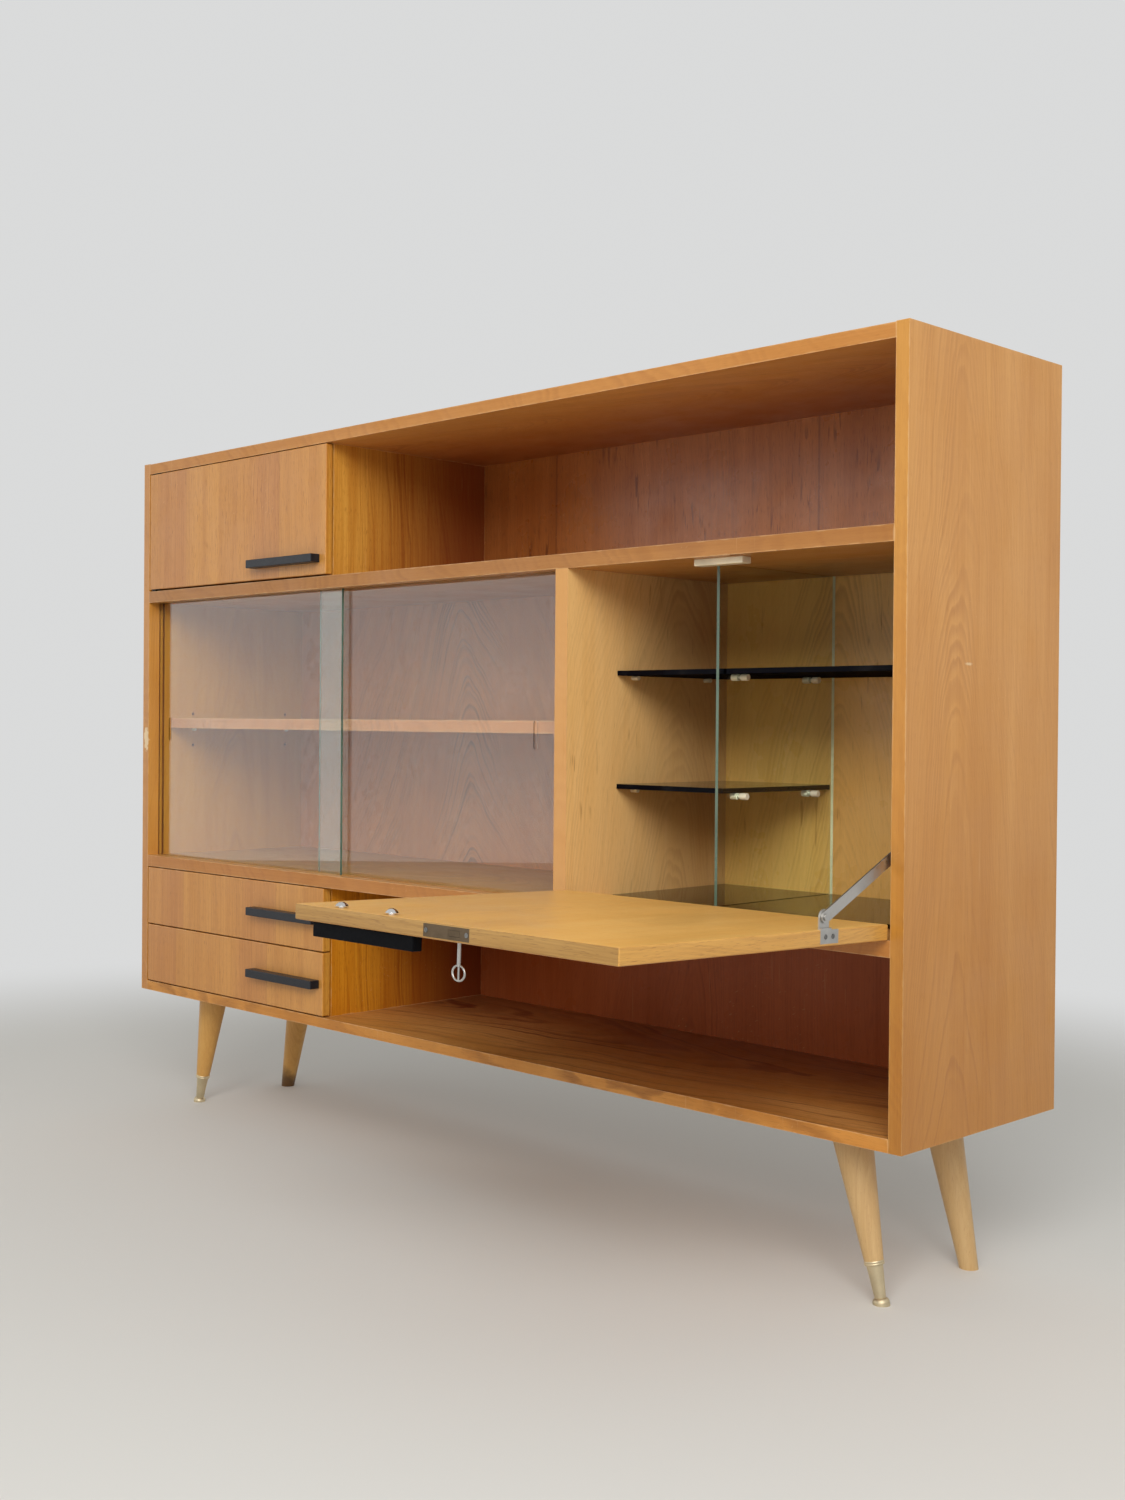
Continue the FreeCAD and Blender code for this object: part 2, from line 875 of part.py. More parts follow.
save("door_handle_bolts", *make_bolts(door_handle_x, door_handle_z, door_thickness))


def on_door_axis(z0, z1, radius):
    """A round bar on the door's pivot axis."""
    return rod(pivot_x, pivot_setback, z0, along_z, radius, z1 - z0)


lower_plate_under = upper_top - pivot_plate_thickness
upper_plate_top = top_under + pivot_plate_thickness
pin_end = pivot_length - sliding_clearance
lower_pivot = join(
    pivot_plate(lower_plate_under, upper_top),
    on_door_axis(lower_plate_under, door_bottom + pin_end, pivot_radius),
    on_door_axis(upper_top, door_bottom - sliding_clearance, pivot_plate_width / 2),
)
upper_pivot = join(
    pivot_plate(top_under, upper_plate_top),
    on_door_axis(door_top - pin_end, upper_plate_top, pivot_radius),
)
save("door_pivot_pins", lower_pivot, upper_pivot)

# Drawers on side runners
drawer_front_left = bay_left + drawer_gap
drawer_front_height = (drawer_bay_height - 3 * drawer_gap) / 2
drawer_box_left = bay_left + drawer_running_gap
drawer_box_right = column_left - drawer_running_gap
drawer_box_front = drawer_front_thickness
drawer_box_back = back_face - drawer_rear_gap
groove_depth = runner_thickness - drawer_running_gap + runner_clearance
groove_front = runner_setback - 2 * overshoot
drawer_handle_x = column_right - drawer_handle_right - handle_length / 2
runners = []


def runner_strip(x0, x1, z):
    """A wooden runner on a wall of the drawer bay."""
    return block(x0, x1, runner_setback, back_face - runner_rear_gap, z, z + runner_height)


def make_drawer(name, front_z):
    """One drawer: front, sides and back, bottom, handle and bolts."""
    handle_z = front_z + drawer_front_height / 2
    front_blank = block(
        drawer_front_left, column_right, 0, drawer_front_thickness, front_z, front_z + drawer_front_height
    )
    front_board = carve(
        rounded(front_blank, front_rounding), bolt_holes(drawer_handle_x, handle_z, drawer_front_thickness)
    )
    side_z = front_z + drawer_side_rise
    bottom_z = side_z + drawer_bottom_rise
    runner_z = side_z + runner_rise
    inner_left = drawer_box_left + drawer_side_thickness
    inner_right = drawer_box_right - drawer_side_thickness
    bottom = block(
        inner_left - drawer_bottom_groove,
        inner_right + drawer_bottom_groove,
        drawer_box_front,
        drawer_box_back,
        bottom_z,
        bottom_z + drawer_bottom_thickness,
    )
    groove_low = runner_z - runner_clearance
    groove_high = runner_z + runner_height + runner_clearance
    side_boards = []
    for x0, groove_x in (
        (drawer_box_left, drawer_box_left),
        (inner_right, drawer_box_right - groove_depth),
    ):
        board = block(
            x0,
            x0 + drawer_side_thickness,
            drawer_box_front,
            drawer_box_back,
            side_z,
            side_z + drawer_side_height,
        )
        groove = block(
            groove_x, groove_x + groove_depth, groove_front, drawer_box_back, groove_low, groove_high
        )
        side_boards.append(carve(board, [groove, bottom]))
    back_board_z = bottom_z + drawer_bottom_thickness
    rear = block(
        inner_left,
        inner_right,
        drawer_box_back - drawer_back_thickness,
        drawer_box_back,
        back_board_z,
        side_z + drawer_side_height,
    )
    save(name + "_front", front_board)
    save(name + "_box", *side_boards, rear)
    save(name + "_bottom", bottom)
    save(name + "_handle", make_handle(drawer_handle_x, handle_z))
    save(name + "_handle_bolts", *make_bolts(drawer_handle_x, handle_z, drawer_front_thickness))
    runners.append(runner_strip(bay_left, bay_left + runner_thickness, runner_z))
    runners.append(runner_strip(column_left - runner_thickness, column_left, runner_z))


lower_front_z = bottom_top + drawer_gap
make_drawer("drawer_lower", lower_front_z)
make_drawer("drawer_upper", lower_front_z + drawer_front_height + drawer_gap)
save("drawer_runners", *runners)

# Flap hinges
shelf_leaves = []
flap_leaves = []
hinge_pins = []
third = hinge_length / 3
for x in hinge_starts:
    end = x + hinge_length
    bore = hinge_round(x, end, hinge_pin_radius + running_clearance)
    flap_gap_cut = hinge_round(x + third - sliding_clearance, end - third + sliding_clearance,
                               knuckle_radius + knuckle_cut)
    shelf_plate = leaf_plate(x, end, shelf_leaf_under, shelf_leaf_top)
    outer_knuckles = [
        hinge_round(x, x + third - sliding_clearance, knuckle_radius),
        hinge_round(end - third + sliding_clearance, end, knuckle_radius),
    ]
    shelf_leaves.append(carve(join(carve(shelf_plate, [flap_gap_cut]), *outer_knuckles), [bore]))
    flap_plate = leaf_plate(x, end, flap_leaf_under, flap_leaf_top)
    side_cuts = [
        hinge_round(x - overshoot, x + third, knuckle_radius + knuckle_cut),
        hinge_round(end - third, end + overshoot, knuckle_radius + knuckle_cut),
    ]
    middle_knuckle = hinge_round(x + third, end - third, knuckle_radius)
    flap_leaves.append(opened(carve(join(carve(flap_plate, side_cuts), middle_knuckle), [bore])))
    hinge_pins.append(hinge_round(x, end, hinge_pin_radius))
save("flap_hinge_shelf_leaves", *shelf_leaves)
save("flap_hinge_flap_leaves", *flap_leaves)
save("flap_hinge_pins", *hinge_pins)

# Lock and key, drawn with the flap shut
lock_plate = block(
    lock_x - lock_plate_length / 2,
    lock_x + lock_plate_length / 2,
    lock_y - lock_plate_width / 2,
    lock_y + lock_plate_width / 2,
    flap_top - lock_plate_thickness,
    flap_top,
)
case_top = flap_top - lock_plate_thickness
case_bottom = flap_top - lock_case_depth


def case_block(wall):
    """The lock's case, or its inside where a wall is taken off."""
    half_length = lock_case_length / 2 - wall
    half_width = lock_case_width / 2 - wall
    return block(
        lock_x - half_length,
        lock_x + half_length,
        lock_y - half_width,
        lock_y + half_width,
        case_bottom + wall,
        case_top,
    )


bolt_rest = flap_top - lock_bolt_depth
bolt_slot = lock_bolt_block(case_top - overshoot, flap_top, sliding_clearance)
keyhole = rod(keyhole_x, 0, keyhole_z, along_y, key_shank_radius + sliding_clearance, lock_y)
key_slot_half = key_bit_thickness / 2 + sliding_clearance
key_slot = block(
    keyhole_x - key_slot_half,
    keyhole_x + key_slot_half,
    0,
    lock_y,
    keyhole_z - key_shank_radius - key_bit_height - sliding_clearance,
    keyhole_z,
)


def screw(x, y, z, direction, slack):
    """A countersunk screw, or its hole, from its flush head along a direction."""
    start = Vector(x, y, z)
    radius = screw_radius + slack
    head = Part.makeCone(screw_head_radius + slack, radius, screw_head_height, start, direction)
    shank = Part.makeCylinder(radius, screw_length + slack, start, direction)
    return join(head, shank)


lock_screw_side = lock_plate_length / 2 - lock_screw_inset
bracket_low = lower_top + stay_pivot_height - bracket_drop
bracket_high = bracket_low + bracket_length
bracket_screw_y = (bracket_margin + flap_thickness) / 2


def flap_screws(slack):
    """The lock plate's and the stay bracket's screws, or their holes."""
    lock_screws = [
        screw(lock_x + side * lock_screw_side, lock_y, flap_top, along_z * -1, slack) for side in (-1, 1)
    ]
    bracket_screws = [
        screw(flap_right, bracket_screw_y, z, along_x * -1, slack)
        for z in (bracket_low + bracket_screw_inset, bracket_high - bracket_screw_inset)
    ]
    return lock_screws + bracket_screws


screw_holes = flap_screws(drill_clearance)
lock_case = join(carve(case_block(0), [case_block(lock_wall)]), lock_plate)
save("lock_case", opened(carve(lock_case, [bolt_slot, keyhole, key_slot] + screw_holes)))
save("flap_screws", *[opened(piece) for piece in flap_screws(0)])
save("lock_bolt", opened(lock_bolt_block(bolt_rest, flap_top, 0)))


def key_ring():
    """The key's oval bow with a bar across it, in line with the shank."""
    centre = Vector(keyhole_x, -key_shank_length - key_bow_height / 2 + key_bow_wire, keyhole_z)
    wire_radius = key_bow_wire / 2
    ring = Part.makeTorus(key_bow_height / 2 - wire_radius, wire_radius)
    stretch = FreeCAD.Matrix()
    stretch.scale(key_bow_width / key_bow_height, 1, 1)
    oval = ring.transformGeometry(stretch)
    oval.translate(centre)
    bar = rod(keyhole_x, centre.y - key_bow_height / 2 + wire_radius, keyhole_z, along_y, wire_radius,
              key_bow_height - key_bow_wire)
    return [oval, bar]


shank_start = -key_shank_length
key_tip = lock_y + lock_case_width / 2 - lock_wall - sliding_clearance
shank = rod(keyhole_x, shank_start, keyhole_z, along_y, key_shank_radius, key_tip - shank_start)
bit = block(
    keyhole_x - key_bit_thickness / 2,
    keyhole_x + key_bit_thickness / 2,
    key_tip - key_bit_length,
    key_tip,
    keyhole_z - key_shank_radius - key_bit_height,
    keyhole_z,
)
save("key", opened(join(shank, bit, *key_ring())))

# Stay: bracket on the flap's edge, arm, and the swivelling guide on the right side board
bracket_plate = block(bracket_left, flap_right, bracket_margin, flap_thickness, bracket_low, bracket_high)
pivot_shut_z = lower_top + stay_pivot_height
ear_low = pivot_shut_z - bracket_ear_radius
ear_high = pivot_shut_z + bracket_ear_radius
flange_top = flap_thickness + bracket_thickness
flange = block(ear_left, flap_right, flap_thickness, flange_top, ear_low, ear_high)
ear = block(ear_left, ear_right, flap_thickness, stay_pivot_setback, ear_low, ear_high)


def on_pivot(start, end, radius):
    """A round bar on the arm's pivot, drawn with the flap shut."""
    return rod(start, stay_pivot_setback, pivot_shut_z, along_x, radius, end - start)


ear_round = on_pivot(ear_left, ear_right, bracket_ear_radius)
head_start = arm_right + sliding_clearance
head_end = head_start + stay_rivet_head
rivet = on_pivot(ear_left, head_end, stay_rivet_radius)
rivet_head = on_pivot(head_start, head_end, stay_rivet_head_radius)
bracket = carve(join(bracket_plate, flange, ear, ear_round), screw_holes)
save("stay_bracket", opened(join(bracket, rivet, rivet_head)))


def along_stay(shape, y, z):
    """A piece drawn along Y at the origin, turned to the arm's slope and moved to its place."""
    turned = shape.copy()
    turned.rotate(Vector(0, 0, 0), along_x, stay_rise)
    turned.translate(Vector(0, y, z))
    return turned


arm_half = stay_arm_width / 2
arm_end = stay_span + guide_size / 2 + sliding_clearance
arm_bar = block(arm_left, arm_right, 0, arm_end, -arm_half, arm_half)
arm_round = rod(arm_left, 0, 0, along_x, arm_half, stay_arm_thickness)
arm_stop = block(
    arm_left, arm_right, arm_end, arm_end + stay_arm_stop, -arm_half - stay_arm_thickness,
    arm_half + stay_arm_thickness
)
arm_hole = rod(arm_left, 0, 0, along_x, stay_rivet_radius + running_clearance, stay_arm_thickness)
save("stay_arm", along_stay(carve(join(arm_bar, arm_round, arm_stop), [arm_hole]), pivot_y, pivot_z))

guide_half = guide_size / 2
guide_block = block(guide_left, guide_right, -guide_half, guide_half, -guide_half, guide_half)
guide_slot = block(
    arm_left - sliding_clearance,
    arm_right + sliding_clearance,
    -guide_half,
    guide_half,
    -arm_half - sliding_clearance,
    arm_half + sliding_clearance,
)
guide_bore = rod(
    guide_right - guide_stud_grip, 0, 0, along_x, guide_stud_radius + running_clearance, guide_stud_grip
)
save("stay_guide", along_stay(carve(guide_block, [guide_slot, guide_bore]), guide_y, guide_z))
stud_start = guide_right - guide_stud_grip + sliding_clearance
save(
    "stay_guide_stud",
    rod(stud_start, guide_y, guide_z, along_x, guide_stud_radius, bay_right + guide_stud_depth - stud_start),
)

# Flap board with its handle and the recesses of everything let into it
flap_handle_x = flap_left + flap_handle_left + handle_length / 2
flap_handle_z = flap_top - flap_handle_down
flap_blank = rounded(block(flap_left, flap_right, 0, flap_thickness, flap_bottom, flap_top), front_rounding)
flap_leaf_recesses = [
    block(x, x + hinge_length, 0, leaf_depth, flap_leaf_under, flap_leaf_top) for x in hinge_starts
]
flap_tools = (
    knuckle_cuts
    + flap_leaf_recesses
    + [case_block(-drill_clearance), lock_plate, keyhole, key_slot, bracket_plate]
    + screw_holes
    + bolt_holes(flap_handle_x, flap_handle_z, flap_thickness)
)
save("flap_panel", opened(carve(flap_blank, flap_tools)))
save("flap_handle", opened(make_handle(flap_handle_x, flap_handle_z)))
flap_bolts = make_bolts(flap_handle_x, flap_handle_z, flap_thickness)
save("flap_handle_bolts", *[opened(bolt) for bolt in flap_bolts])

# Legs
above_carcass = block(0, overall_width, 0, carcass_depth, leg_height, side_top)
below_floor = block(0, overall_width, 0, carcass_depth, -leg_height, 0)
spare = leg_top_radius


def leg_radius(distance, start):
    """The wood's radius this far along the axis, where the taper ends at a start distance."""
    slope = (leg_top_radius - leg_end_radius) / (leg_lean - start)
    return leg_end_radius + slope * (distance - start)


def turned_leg(leg, start, low):
    """A leg's tapered wood from a low end to above the carcass's underside."""
    return leg.taper(leg_radius(low, start), leg_radius(leg_lean + spare, start), low, leg_lean + spare)


def make_ferrule(leg):
    """A brass cap: two beads, a tapered cup and a rounded foot, cut flat on the floor."""
    bead_radius = leg_end_radius + ferrule_bead_proud
    cup_top = ferrule_length - 2 * ferrule_bead
    base = Vector(0, 0, -ferrule_foot)
    rim = Vector(ferrule_foot_radius, 0, -ferrule_foot)
    rise = Vector(ferrule_foot_radius, 0, ferrule_foot)
    waist = Vector(ferrule_waist_radius, 0, ferrule_waist)
    bulge = (rise + waist) * (1 / 2) + Vector(ferrule_bulge, 0, ferrule_bulge)
    cup = Vector(ferrule_cup_radius, 0, cup_top)
    ledge = Vector(leg_end_radius, 0, cup_top)
    outline = [
        Part.LineSegment(base, rim),
        Part.LineSegment(rim, rise),
        Part.Arc(rise, bulge, waist),
        Part.LineSegment(waist, cup),
        Part.LineSegment(cup, ledge),
    ]
    edge = ledge
    for low in (cup_top, cup_top + ferrule_bead):
        crown = Vector(bead_radius, 0, low + ferrule_bead / 2)
        end = Vector(leg_end_radius, 0, low + ferrule_bead)
        outline.append(Part.Arc(edge, crown, end))
        edge = end
    top = Vector(0, 0, ferrule_length)
    outline.append(Part.LineSegment(edge, top))
    outline.append(Part.LineSegment(top, base))
    profile = Part.Face(Part.Wire([curve.toShape() for curve in outline]))
    turned = profile.revolve(Vector(0, 0, 0), along_z, 360)
    turned.Placement = FreeCAD.Placement(leg.foot, FreeCAD.Rotation(along_z, leg.direction))
    socket_low = ferrule_length - ferrule_peg_length - drill_clearance
    socket = leg.bar(ferrule_peg_radius + drill_clearance, socket_low, ferrule_length)
    return carve(turned, [below_floor, socket])


ferrules = []
for place, leg in legs.items():
    bolt_hole = leg.bolt(drill_clearance)
    if place.startswith("front"):
        wood = turned_leg(leg, ferrule_length, ferrule_length)
        peg_low = ferrule_length - ferrule_peg_length
        peg = leg.bar(ferrule_peg_radius, peg_low, ferrule_length + ferrule_peg_length)
        ferrules.append(make_ferrule(leg))
        save("leg_" + place, carve(join(wood, peg), [above_carcass, bolt_hole]))
    else:
        wood = turned_leg(leg, 0, -spare)
        save("leg_" + place, carve(wood, [above_carcass, below_floor, bolt_hole]))
save("leg_ferrules", *ferrules)
save("leg_bolts", *[leg.bolt(0) for leg in legs.values()])
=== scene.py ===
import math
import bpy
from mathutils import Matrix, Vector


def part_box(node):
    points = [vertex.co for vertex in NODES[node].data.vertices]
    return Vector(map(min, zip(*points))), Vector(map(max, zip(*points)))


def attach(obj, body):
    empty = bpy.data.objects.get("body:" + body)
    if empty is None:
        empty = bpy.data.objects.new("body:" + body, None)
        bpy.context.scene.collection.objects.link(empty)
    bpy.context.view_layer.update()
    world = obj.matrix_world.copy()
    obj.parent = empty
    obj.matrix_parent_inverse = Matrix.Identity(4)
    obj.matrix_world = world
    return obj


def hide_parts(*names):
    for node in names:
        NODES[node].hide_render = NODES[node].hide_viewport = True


bl_info = {
    "name": "Bookcase Sideboard",
    "version": (1, 0, 0),
    "blender": (4, 5, 0),
    "location": "3D View > Sidebar > Sideboard",
    "description": "Finishes a veneered bookcase sideboard with a drop-flap bar on its packed frame",
    "category": "Object",
}

from collections import namedtuple

import bmesh
import bpy
from bpy.props import FloatProperty, FloatVectorProperty, PointerProperty
from bpy.types import Operator, Panel, PropertyGroup
from mathutils import Matrix, Vector

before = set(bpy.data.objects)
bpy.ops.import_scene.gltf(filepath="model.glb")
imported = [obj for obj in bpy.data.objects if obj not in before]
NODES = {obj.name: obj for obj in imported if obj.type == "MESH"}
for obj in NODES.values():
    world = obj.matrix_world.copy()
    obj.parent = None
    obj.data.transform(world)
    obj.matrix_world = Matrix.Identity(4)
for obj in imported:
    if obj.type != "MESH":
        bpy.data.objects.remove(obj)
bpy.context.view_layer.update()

PHOTO_WIDTH = 1125
PHOTO_HEIGHT = 1500

# Places that the finishes need, read from the frame
SIDE_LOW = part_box("side_panel_left")[0]
SIDE_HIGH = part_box("side_panel_right")[1]
FLAP_LOW, FLAP_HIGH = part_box("flap_panel")
FRONT_Y = SIDE_LOW.y
FLOOR_Z = 0.0

# How far the flap swings up to shut, where its lock plate lies level
FLAP_SWING = math.radians(88.3)

# How a veneer is cut: spacing of its growth lines, depth of the heart, taper of the arches, how far the
# lines stray, how far the leaf lies from the heart, and how strong the lines, streaks, pores, clouds and
# dark flecks are
Cut = namedtuple("Cut", "ring heart taper warp aside figure streaks pores drift flecks")
CROWN = Cut(0.0070, 0.024, 0.32, 0.014, 0.0, 0.85, 0.50, 0.35, 0.60, 0.20)
BOLD_CROWN = CROWN._replace(ring=0.0076, heart=0.022, taper=0.55, figure=1.25, pores=0.40, drift=0.80)
SOFT_CROWN = CROWN._replace(ring=0.0062, taper=0.15, figure=0.55, drift=0.85)
FAINT_CROWN = SOFT_CROWN._replace(figure=0.40)
CALM_CROWN = CROWN._replace(ring=0.0068, taper=0.28, figure=0.55, pores=0.30, flecks=0.80)
WAVY_CROWN = CROWN._replace(ring=0.0130, taper=0.12, warp=0.030, figure=1.8, drift=1.50)
STRIPE = Cut(0.0042, 0.010, 0.02, 0.004, 0.9, 0.50, 1.15, 0.80, 0.40, 0.10)
BOLD_STRIPE = STRIPE._replace(ring=0.0090, warp=0.012, figure=0.95, drift=0.80)
FLECKED_STRIPE = BOLD_STRIPE._replace(figure=0.45, streaks=0.75, drift=1.30, flecks=1.2)
TURNED = Cut(0.0045, 0.010, 0.03, 0.004, 0.4, 0.35, 0.60, 0.35, 0.40, 0.10)

# How a board lies: its axes across the leaf, through the thickness and along the grain
UPRIGHT_SIDE = "YXZ"
UPRIGHT_FRONT = "XYZ"
LYING = "YZX"
LYING_DEEP = "XZY"
EDGE_ALONG = "ZYX"
EDGE_DEEP = "ZXY"

# Leaves of veneer laid side by side: their width, the place of one joint and how wide the joint's shade is
Leaves = namedtuple("Leaves", "width joint shade")
FRONT_LEAVES = Leaves(0.307, -0.747, 0.0008)
BACK_LEAVES = Leaves(0.59, -0.105, 0.004)

# Shares of red, green and blue that are left on the lipped front edges, on a leaf's rosy side, in the painted
# shade low down on the right side board (up to a height) and on the left side board behind the glass
LIPPING = (0.86, 0.78, 0.68)
GOLDEN_LIPPING = (0.90, 0.86, 0.54)
UPPER_LIPPING = (0.65, 0.57, 0.44)
LOWER_LIPPING = (0.77, 0.64, 0.45)
BOTTOM_LIPPING = (0.96, 0.86, 0.60)
ROSY = (0.84, 0.74, 0.88)
LOW_PAINTED_SHADE = (0.78, 0.69, 0.45)
LOW_SHADE_TOP = 0.95
YELLOWED = (0.97, 0.87, 0.50)

# Shares by which a piece differs from the colours of its kind: the drawer divider, the backs of the bar and
# of the low bay, the left legs, the flap's end and the lock. Those of the drawer divider and the low bay's
# back are painted warm shade of the low bay, and those of the left legs are painted warm shade where they
# stand
LOW_BAY_WARM_SHADE = (1.0, 0.82, 0.32)
OLIVE = (0.94, 0.84, 0.58)
LOW_BACK_WARM_SHADE = (0.90, 0.64, 0.85)
WARM_SHADE_BEECH = (1.10, 0.92, 0.55)
PALE_END = (1.10, 1.28, 1.30)
WORN_STEEL = (0.295, 0.215, 0.14)

# Colours of the flap's front lipping (light to dark), of wood where the finish is off, of a leg's damp foot,
# of dust, of what the floor plates mirror and of the room's light
TAN = ((0.440, 0.245, 0.062), (0.340, 0.172, 0.034), (0.200, 0.088, 0.018))
BARE_WOOD = (0.78, 0.60, 0.36)
DAMP_STAIN = (0.055, 0.022, 0.008)
DUST = (0.35, 0.33, 0.30)
BROWN_SHEEN = (1.0, 0.69, 0.16)
ROOM_WHITE = (1.0, 0.99, 0.97)

# A place where the finish is off: where it is, how soon it ends along X, Y and Z, how fine and how strong its
# ragged edge is, where that edge starts and ends, and how bare the wood is
Spot = namedtuple("Spot", "place ends grain ragged start end bare")
CHIP = Spot((SIDE_LOW.x + 0.012, FRONT_Y, 0.733), (110.0, 160.0, 34.0), 120.0, 0.9, 1.15, 1.35, 0.85)
RUBBED = Spot((SIDE_HIGH.x, 0.206, 0.855), (0.0, 90.0, 380.0), 260.0, 1.0, 0.8, 1.5, 0.6)

# What all the lacquered wood shares: how far a board's heart lies off its middle, how far along the log a
# seed steps, how strong joints, worn arrises and scratches are, how dull pores are, how strong and deep the
# grain is, where the painted shade on an inner face starts and where it is full, and how dark the painted
# shade in grooves and holes is
HEART_SWAY = 0.18
LOG_STEP = 1.37
JOINT_SHADE = 0.55
ARRIS_WEAR = 0.55
SCRATCHES = 0.4
SCRATCH_WEAR = 0.6
PORE_DULLNESS = 0.08
GRAIN_BUMP = 0.25
GRAIN_DEPTH = 0.0004
SHADE_STARTS_AT = FRONT_Y + 0.02
SHADE_FULL_AT = FRONT_Y + 0.36
PAINTED_GROOVE_SHADE = 0.9

# What metal and plastic share: how strong and deep their skin is, and how dark their stains are
SKIN_BUMP = 0.05
SKIN_DEPTH = 0.0002
STAIN_SHADE = 0.45

# How rough the film on clear glass is, how much light its shadow lets through, and how rough dark glass is
# on its ground lower face
GLASS_HAZE = 0.006
GLASS_SHADOW = 0.86
GROUND_ROUGHNESS = 0.80

FLOOR_CORNERS = 96
FLOOR_ROUGHNESS = 0.75

# The lamps: where each hangs, what it is aimed at, its width and its height
LAMPS = {
    "key": ((2.9, -3.1, 3.0), (0.1, 0.0, 0.7), 3.4, 2.2),
    "side": ((4.6, -0.6, 2.4), (0.9, 0.2, 0.7), 2.4, 2.4),
    "window": ((-4.6, -4.4, 1.65), (-0.2, 0.2, 1.65), 5.0, 3.3),
}


# Settings
def tone(name, description, default):
    """A colour that a user may change."""
    return FloatVectorProperty(
        name=name, description=description, default=default, subtype="COLOR", size=3, min=0, max=1,
    )


def length(name, description, default):
    """A length in metres that a user may change."""
    return FloatProperty(
        name=name, description=description, default=default, subtype="DISTANCE", unit="LENGTH",
    )


def pixels(name, description, default):
    """A length in the photograph's pixels that a user may change."""
    return FloatProperty(name=name, description=description, default=default, subtype="PIXEL")


def power(name, description, default):
    """A lamp's power that a user may change."""
    return FloatProperty(name=name, description=description, default=default, subtype="POWER", unit="POWER")


def angle(name, description, degrees):
    """An angle that a user may change."""
    return FloatProperty(
        name=name, description=description, default=math.radians(degrees), subtype="ANGLE", unit="ROTATION",
    )


class SideboardFinish(PropertyGroup):
    """Colours of the veneers, woods, metals and glass."""

    honey_pale: tone("Honey pale", "Light streaks of the carcass veneer", (0.640, 0.318, 0.092))
    honey_warm: tone("Honey warm", "Body colour of the carcass veneer", (0.525, 0.228, 0.048))
    honey_dark: tone("Honey dark", "Growth lines of the carcass veneer", (0.330, 0.114, 0.020))
    front_pale: tone("Front pale", "Light leaves of the door and drawer fronts", (0.588, 0.270, 0.060))
    front_warm: tone("Front warm", "Rosy leaves of the door and drawer fronts", (0.502, 0.213, 0.044))
    front_dark: tone("Front dark", "Growth lines of the door and drawer fronts", (0.300, 0.108, 0.022))
    golden_pale: tone("Golden pale", "Light stripes of the upright dividers", (0.700, 0.355, 0.058))
    golden_warm: tone("Golden warm", "Body colour of the upright dividers", (0.540, 0.225, 0.028))
    golden_dark: tone("Golden dark", "Dark stripes of the upright dividers", (0.300, 0.090, 0.010))
    bar_pale: tone("Bar pale", "Light streaks inside the bar", (0.900, 0.590, 0.245))
    bar_warm: tone("Bar warm", "Body colour inside the bar", (0.820, 0.485, 0.165))
    bar_dark: tone("Bar dark", "Growth lines inside the bar", (0.400, 0.180, 0.045))
    flap_pale: tone("Flap pale", "Light streaks of the flap's inner face", (0.900, 0.530, 0.155))
    flap_warm: tone("Flap warm", "Body colour of the flap's inner face", (0.810, 0.425, 0.094))
    flap_dark: tone("Flap dark", "Growth lines of the flap's inner face", (0.560, 0.255, 0.050))
    # Partly stain and partly painted shade: the back colours are a darker, redder copy of the veneer for the
    # shaded bays
    back_pale: tone("Back pale", "Light streaks of the stained back boards", (0.480, 0.172, 0.038))
    back_warm: tone("Back warm", "Body colour of the stained back boards", (0.375, 0.118, 0.020))
    back_dark: tone("Back dark", "Growth lines of the stained back boards", (0.130, 0.030, 0.005))
    # Painted light: the display colours are a lighter copy of the back veneer for the bay behind the glass,
    # which is lit more
    display_pale: tone("Display pale", "Light streaks behind the glass doors", (0.600, 0.228, 0.074))
    display_warm: tone("Display warm", "Body colour behind the glass doors", (0.510, 0.168, 0.050))
    display_dark: tone("Display dark", "Growth lines behind the glass doors", (0.190, 0.058, 0.018))
    beech_pale: tone("Beech pale", "Light wood of the legs and drawer boxes", (0.600, 0.408, 0.190))
    beech_warm: tone("Beech warm", "Body colour of the legs and drawer boxes", (0.515, 0.316, 0.126))
    beech_dark: tone("Beech dark", "Flecks of the legs and drawer boxes", (0.360, 0.185, 0.060))
    # Painted shade: the colour that inner faces darken to towards the back, and that grooves and holes darken
    # to
    inside_dark: tone("Inside dark", "Veneer deep inside the open bays", (0.205, 0.029, 0.012))
    board_rear: tone("Board rear", "Raw rear face of the back boards", (0.300, 0.180, 0.090))
    worn_edge: tone("Worn edge", "Wood rubbed bare along the arrises", (0.700, 0.440, 0.210))
    handle_black: tone("Handle black", "Moulded bar handles", (0.011, 0.012, 0.016))
    smoked_glass: tone("Smoked glass", "Black glass of the bar shelves", (0.003, 0.003, 0.005))
    plate_glass: tone("Plate glass", "Brown glass of the bar's floor plates", (0.012, 0.006, 0.002))
    clear_glass: tone("Clear glass", "Tint of the sliding doors and the partition", (0.900, 0.965, 0.940))
    glass_edge: tone("Glass edge", "Ground edges of the clear glass", (0.100, 0.165, 0.115))
    # Painted light: the partition's rear edge is painted bright for the light the glass gathers
    bright_edge: tone("Bright edge", "Rear edge of the partition, which gathers light", (0.780, 0.780, 0.480))
    steel: tone("Steel", "Dull steel of the stay, lock and key", (0.520, 0.505, 0.475))
    chrome: tone("Chrome", "Bright domed bolt heads", (0.760, 0.750, 0.730))
    brass: tone("Brass", "Aged brass of the ferrules", (0.760, 0.640, 0.420))
    cream: tone("Cream", "Plastic of the supports, shelf pins and stop block", (0.880, 0.800, 0.590))


